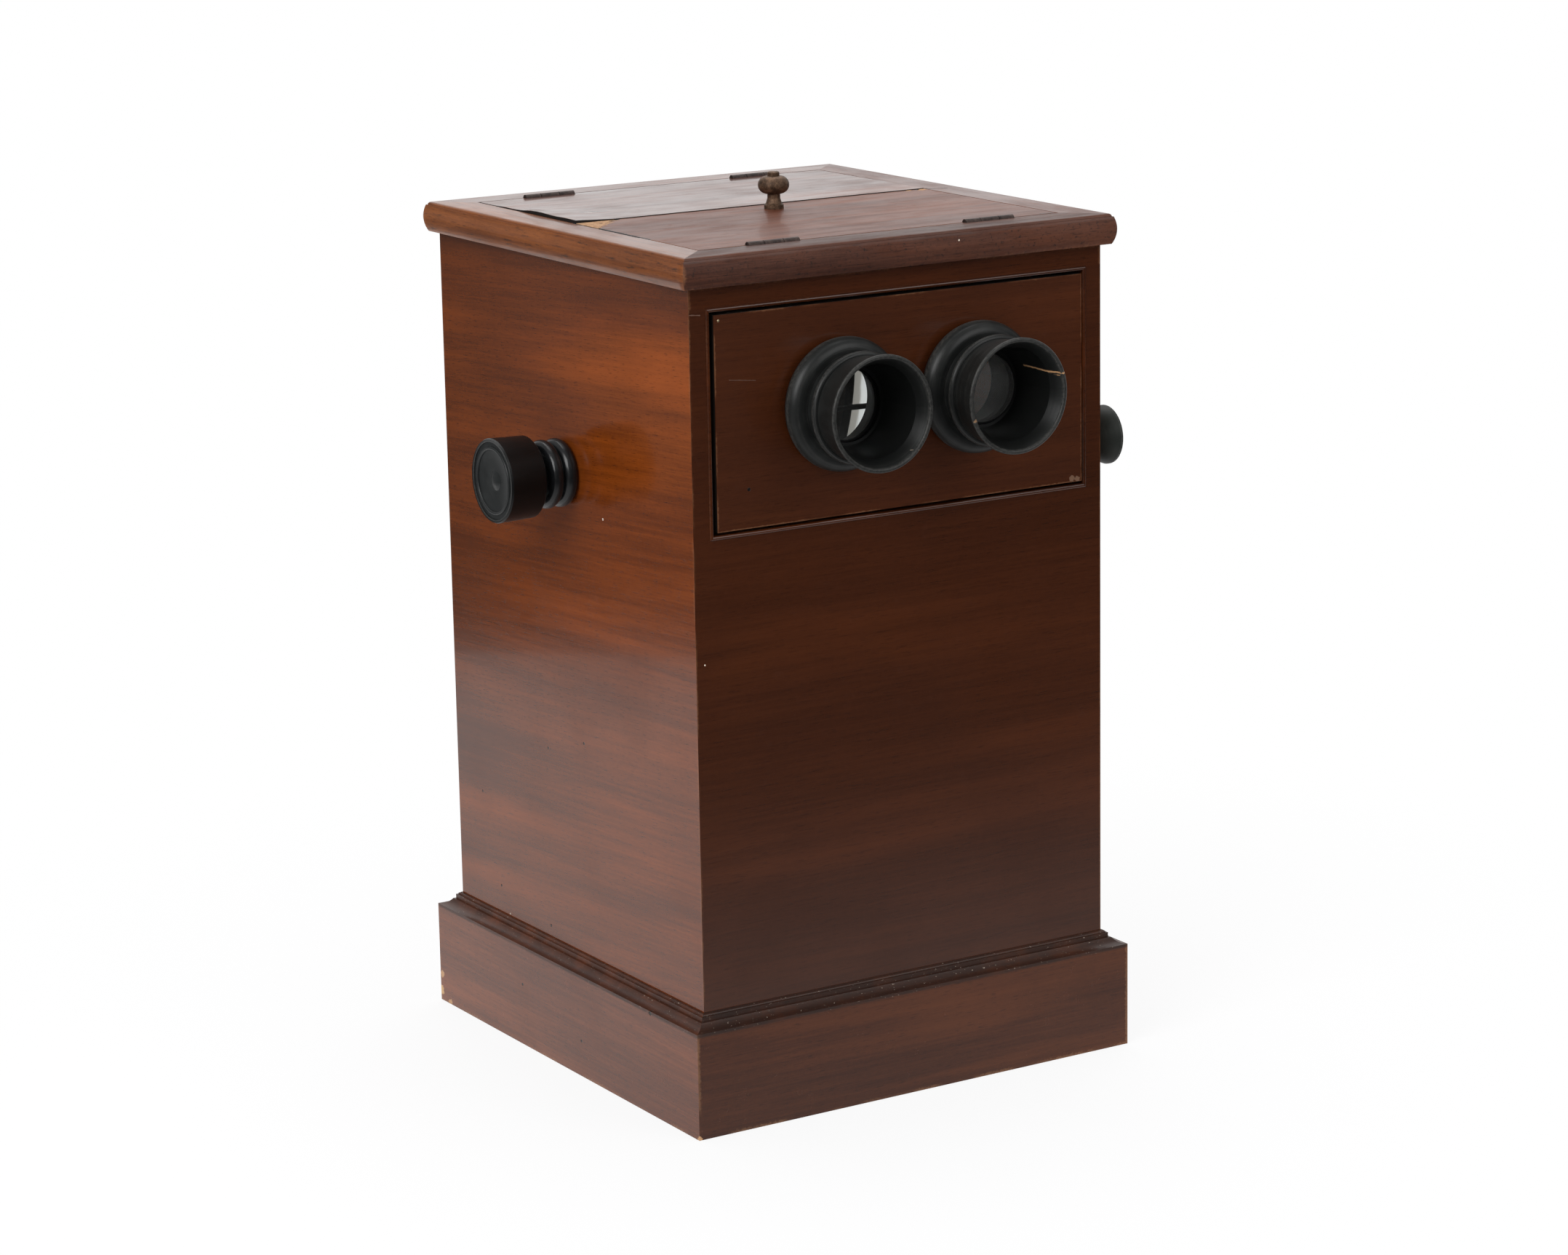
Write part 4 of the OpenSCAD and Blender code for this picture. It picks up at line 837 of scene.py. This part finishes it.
def floor():
    """A white floor just under the case. Its left edge slants, as its mirror image in the side shows."""
    width, depth, drop = 2.2, 2.4, 0.0002
    edge_slant, edge_x = 1.09, -1.337
    shape = bmesh.new()
    bmesh.ops.create_grid(shape, x_segments=2, y_segments=2, size=0.5)
    bmesh.ops.scale(shape, vec=(width, depth, 1), verts=shape.verts)
    bmesh.ops.translate(shape, vec=(0.48, 0.35, -drop), verts=shape.verts)
    for v in shape.verts:
        if v.co.x < 0:
            v.co.x = edge_slant * v.co.y + edge_x
    mesh = bpy.data.meshes.new("floor")
    shape.to_mesh(mesh)
    shape.free()
    sheet = bpy.data.objects.new("floor", mesh)
    bpy.context.collection.objects.link(sheet)
    material, f = new_finish("white_paper")
    tooth = f.noise([3 * MM] * 3, 3, 0.5, 0)
    paper = f.skin(f.mix(tooth * 0.1, (0.80, 0.80, 0.81), (0.76, 0.76, 0.77)), roughness=0.9)
    seen, glossy, through = (f.add("ShaderNodeLightPath", {}, {}, kind)
                             for kind in ("Is Camera Ray", "Is Glossy Ray", "Is Transmission Ray"))
    # To glossy rays the paper glows white, but near-black in front of the case: a painted dark reflection for
    # the polish
    in_front = f.axis(1).between(0.08, -0.72)
    tint = f.mix(glossy * in_front, (1, 1, 1), (0.08, 0.08, 0.08))
    glow = f.add("ShaderNodeEmission", {}, {"Color": tint, "Strength": 1.0})
    # Near the case the paper shows a share of its own, with the case's shadow on it
    shadow_share = 0.14
    away = f.vector("LENGTH", f.place, output="Value").between(0.15, 0.6)
    glowing = seen.most(glossy).most(through) * (away * shadow_share + (1 - shadow_share))
    f.close(f.blend(glowing, paper, glow))
    mesh.materials.append(material)


def softbox(name, place, target, size, power):
    """A rectangular lamp that faces a target."""
    light = bpy.data.lights.new(name, "AREA")
    light.shape = "RECTANGLE"
    light.size, light.size_y = size
    light.energy = power
    lamp = bpy.data.objects.new(name, light)
    lamp.location = place
    lamp.rotation_euler = (Vector(target) - Vector(place)).to_track_quat("-Z", "Y").to_euler()
    bpy.context.collection.objects.link(lamp)


def camera():
    """The photograph's viewpoint and lens, fitted to the edges of the case."""
    place = Vector((-1.0763, -1.7515, 0.6826))
    focal_length, sensor = 99.26, 36.0
    azimuth, elevation, roll = (math.radians(a) for a in (-31.754, 13.177, -1.008))
    level_back = math.cos(elevation)
    back = Vector((math.sin(azimuth) * level_back, -math.cos(azimuth) * level_back, math.sin(elevation)))
    level = Vector((math.cos(azimuth), math.sin(azimuth), 0))
    up = back.cross(level)
    right = math.cos(roll) * level + math.sin(roll) * up
    top = -math.sin(roll) * level + math.cos(roll) * up
    lens = bpy.data.cameras.new("camera")
    lens.lens, lens.sensor_width, lens.sensor_fit = focal_length, sensor, "HORIZONTAL"
    lens.clip_start, lens.clip_end = 0.05, 50
    eye = bpy.data.objects.new("camera", lens)
    eye.matrix_world = Matrix.Translation(place) @ Matrix((right, top, back)).transposed().to_4x4()
    bpy.context.collection.objects.link(eye)
    bpy.context.scene.camera = eye


studio()
floor()
softbox("key", (-1.9, -0.9, 1.5), (0, 0, 0.2), (1.4, 1.4), 38)
softbox("fill", (0.9, -2.1, 1.3), (0, 0, 0.2), (1.4, 1.4), 16)
softbox("top", (0.3, 0.6, 2.2), (0, 0, 0.3), (1.8, 1.8), 22)
camera()
bpy.context.scene.view_settings.view_transform = "Standard"
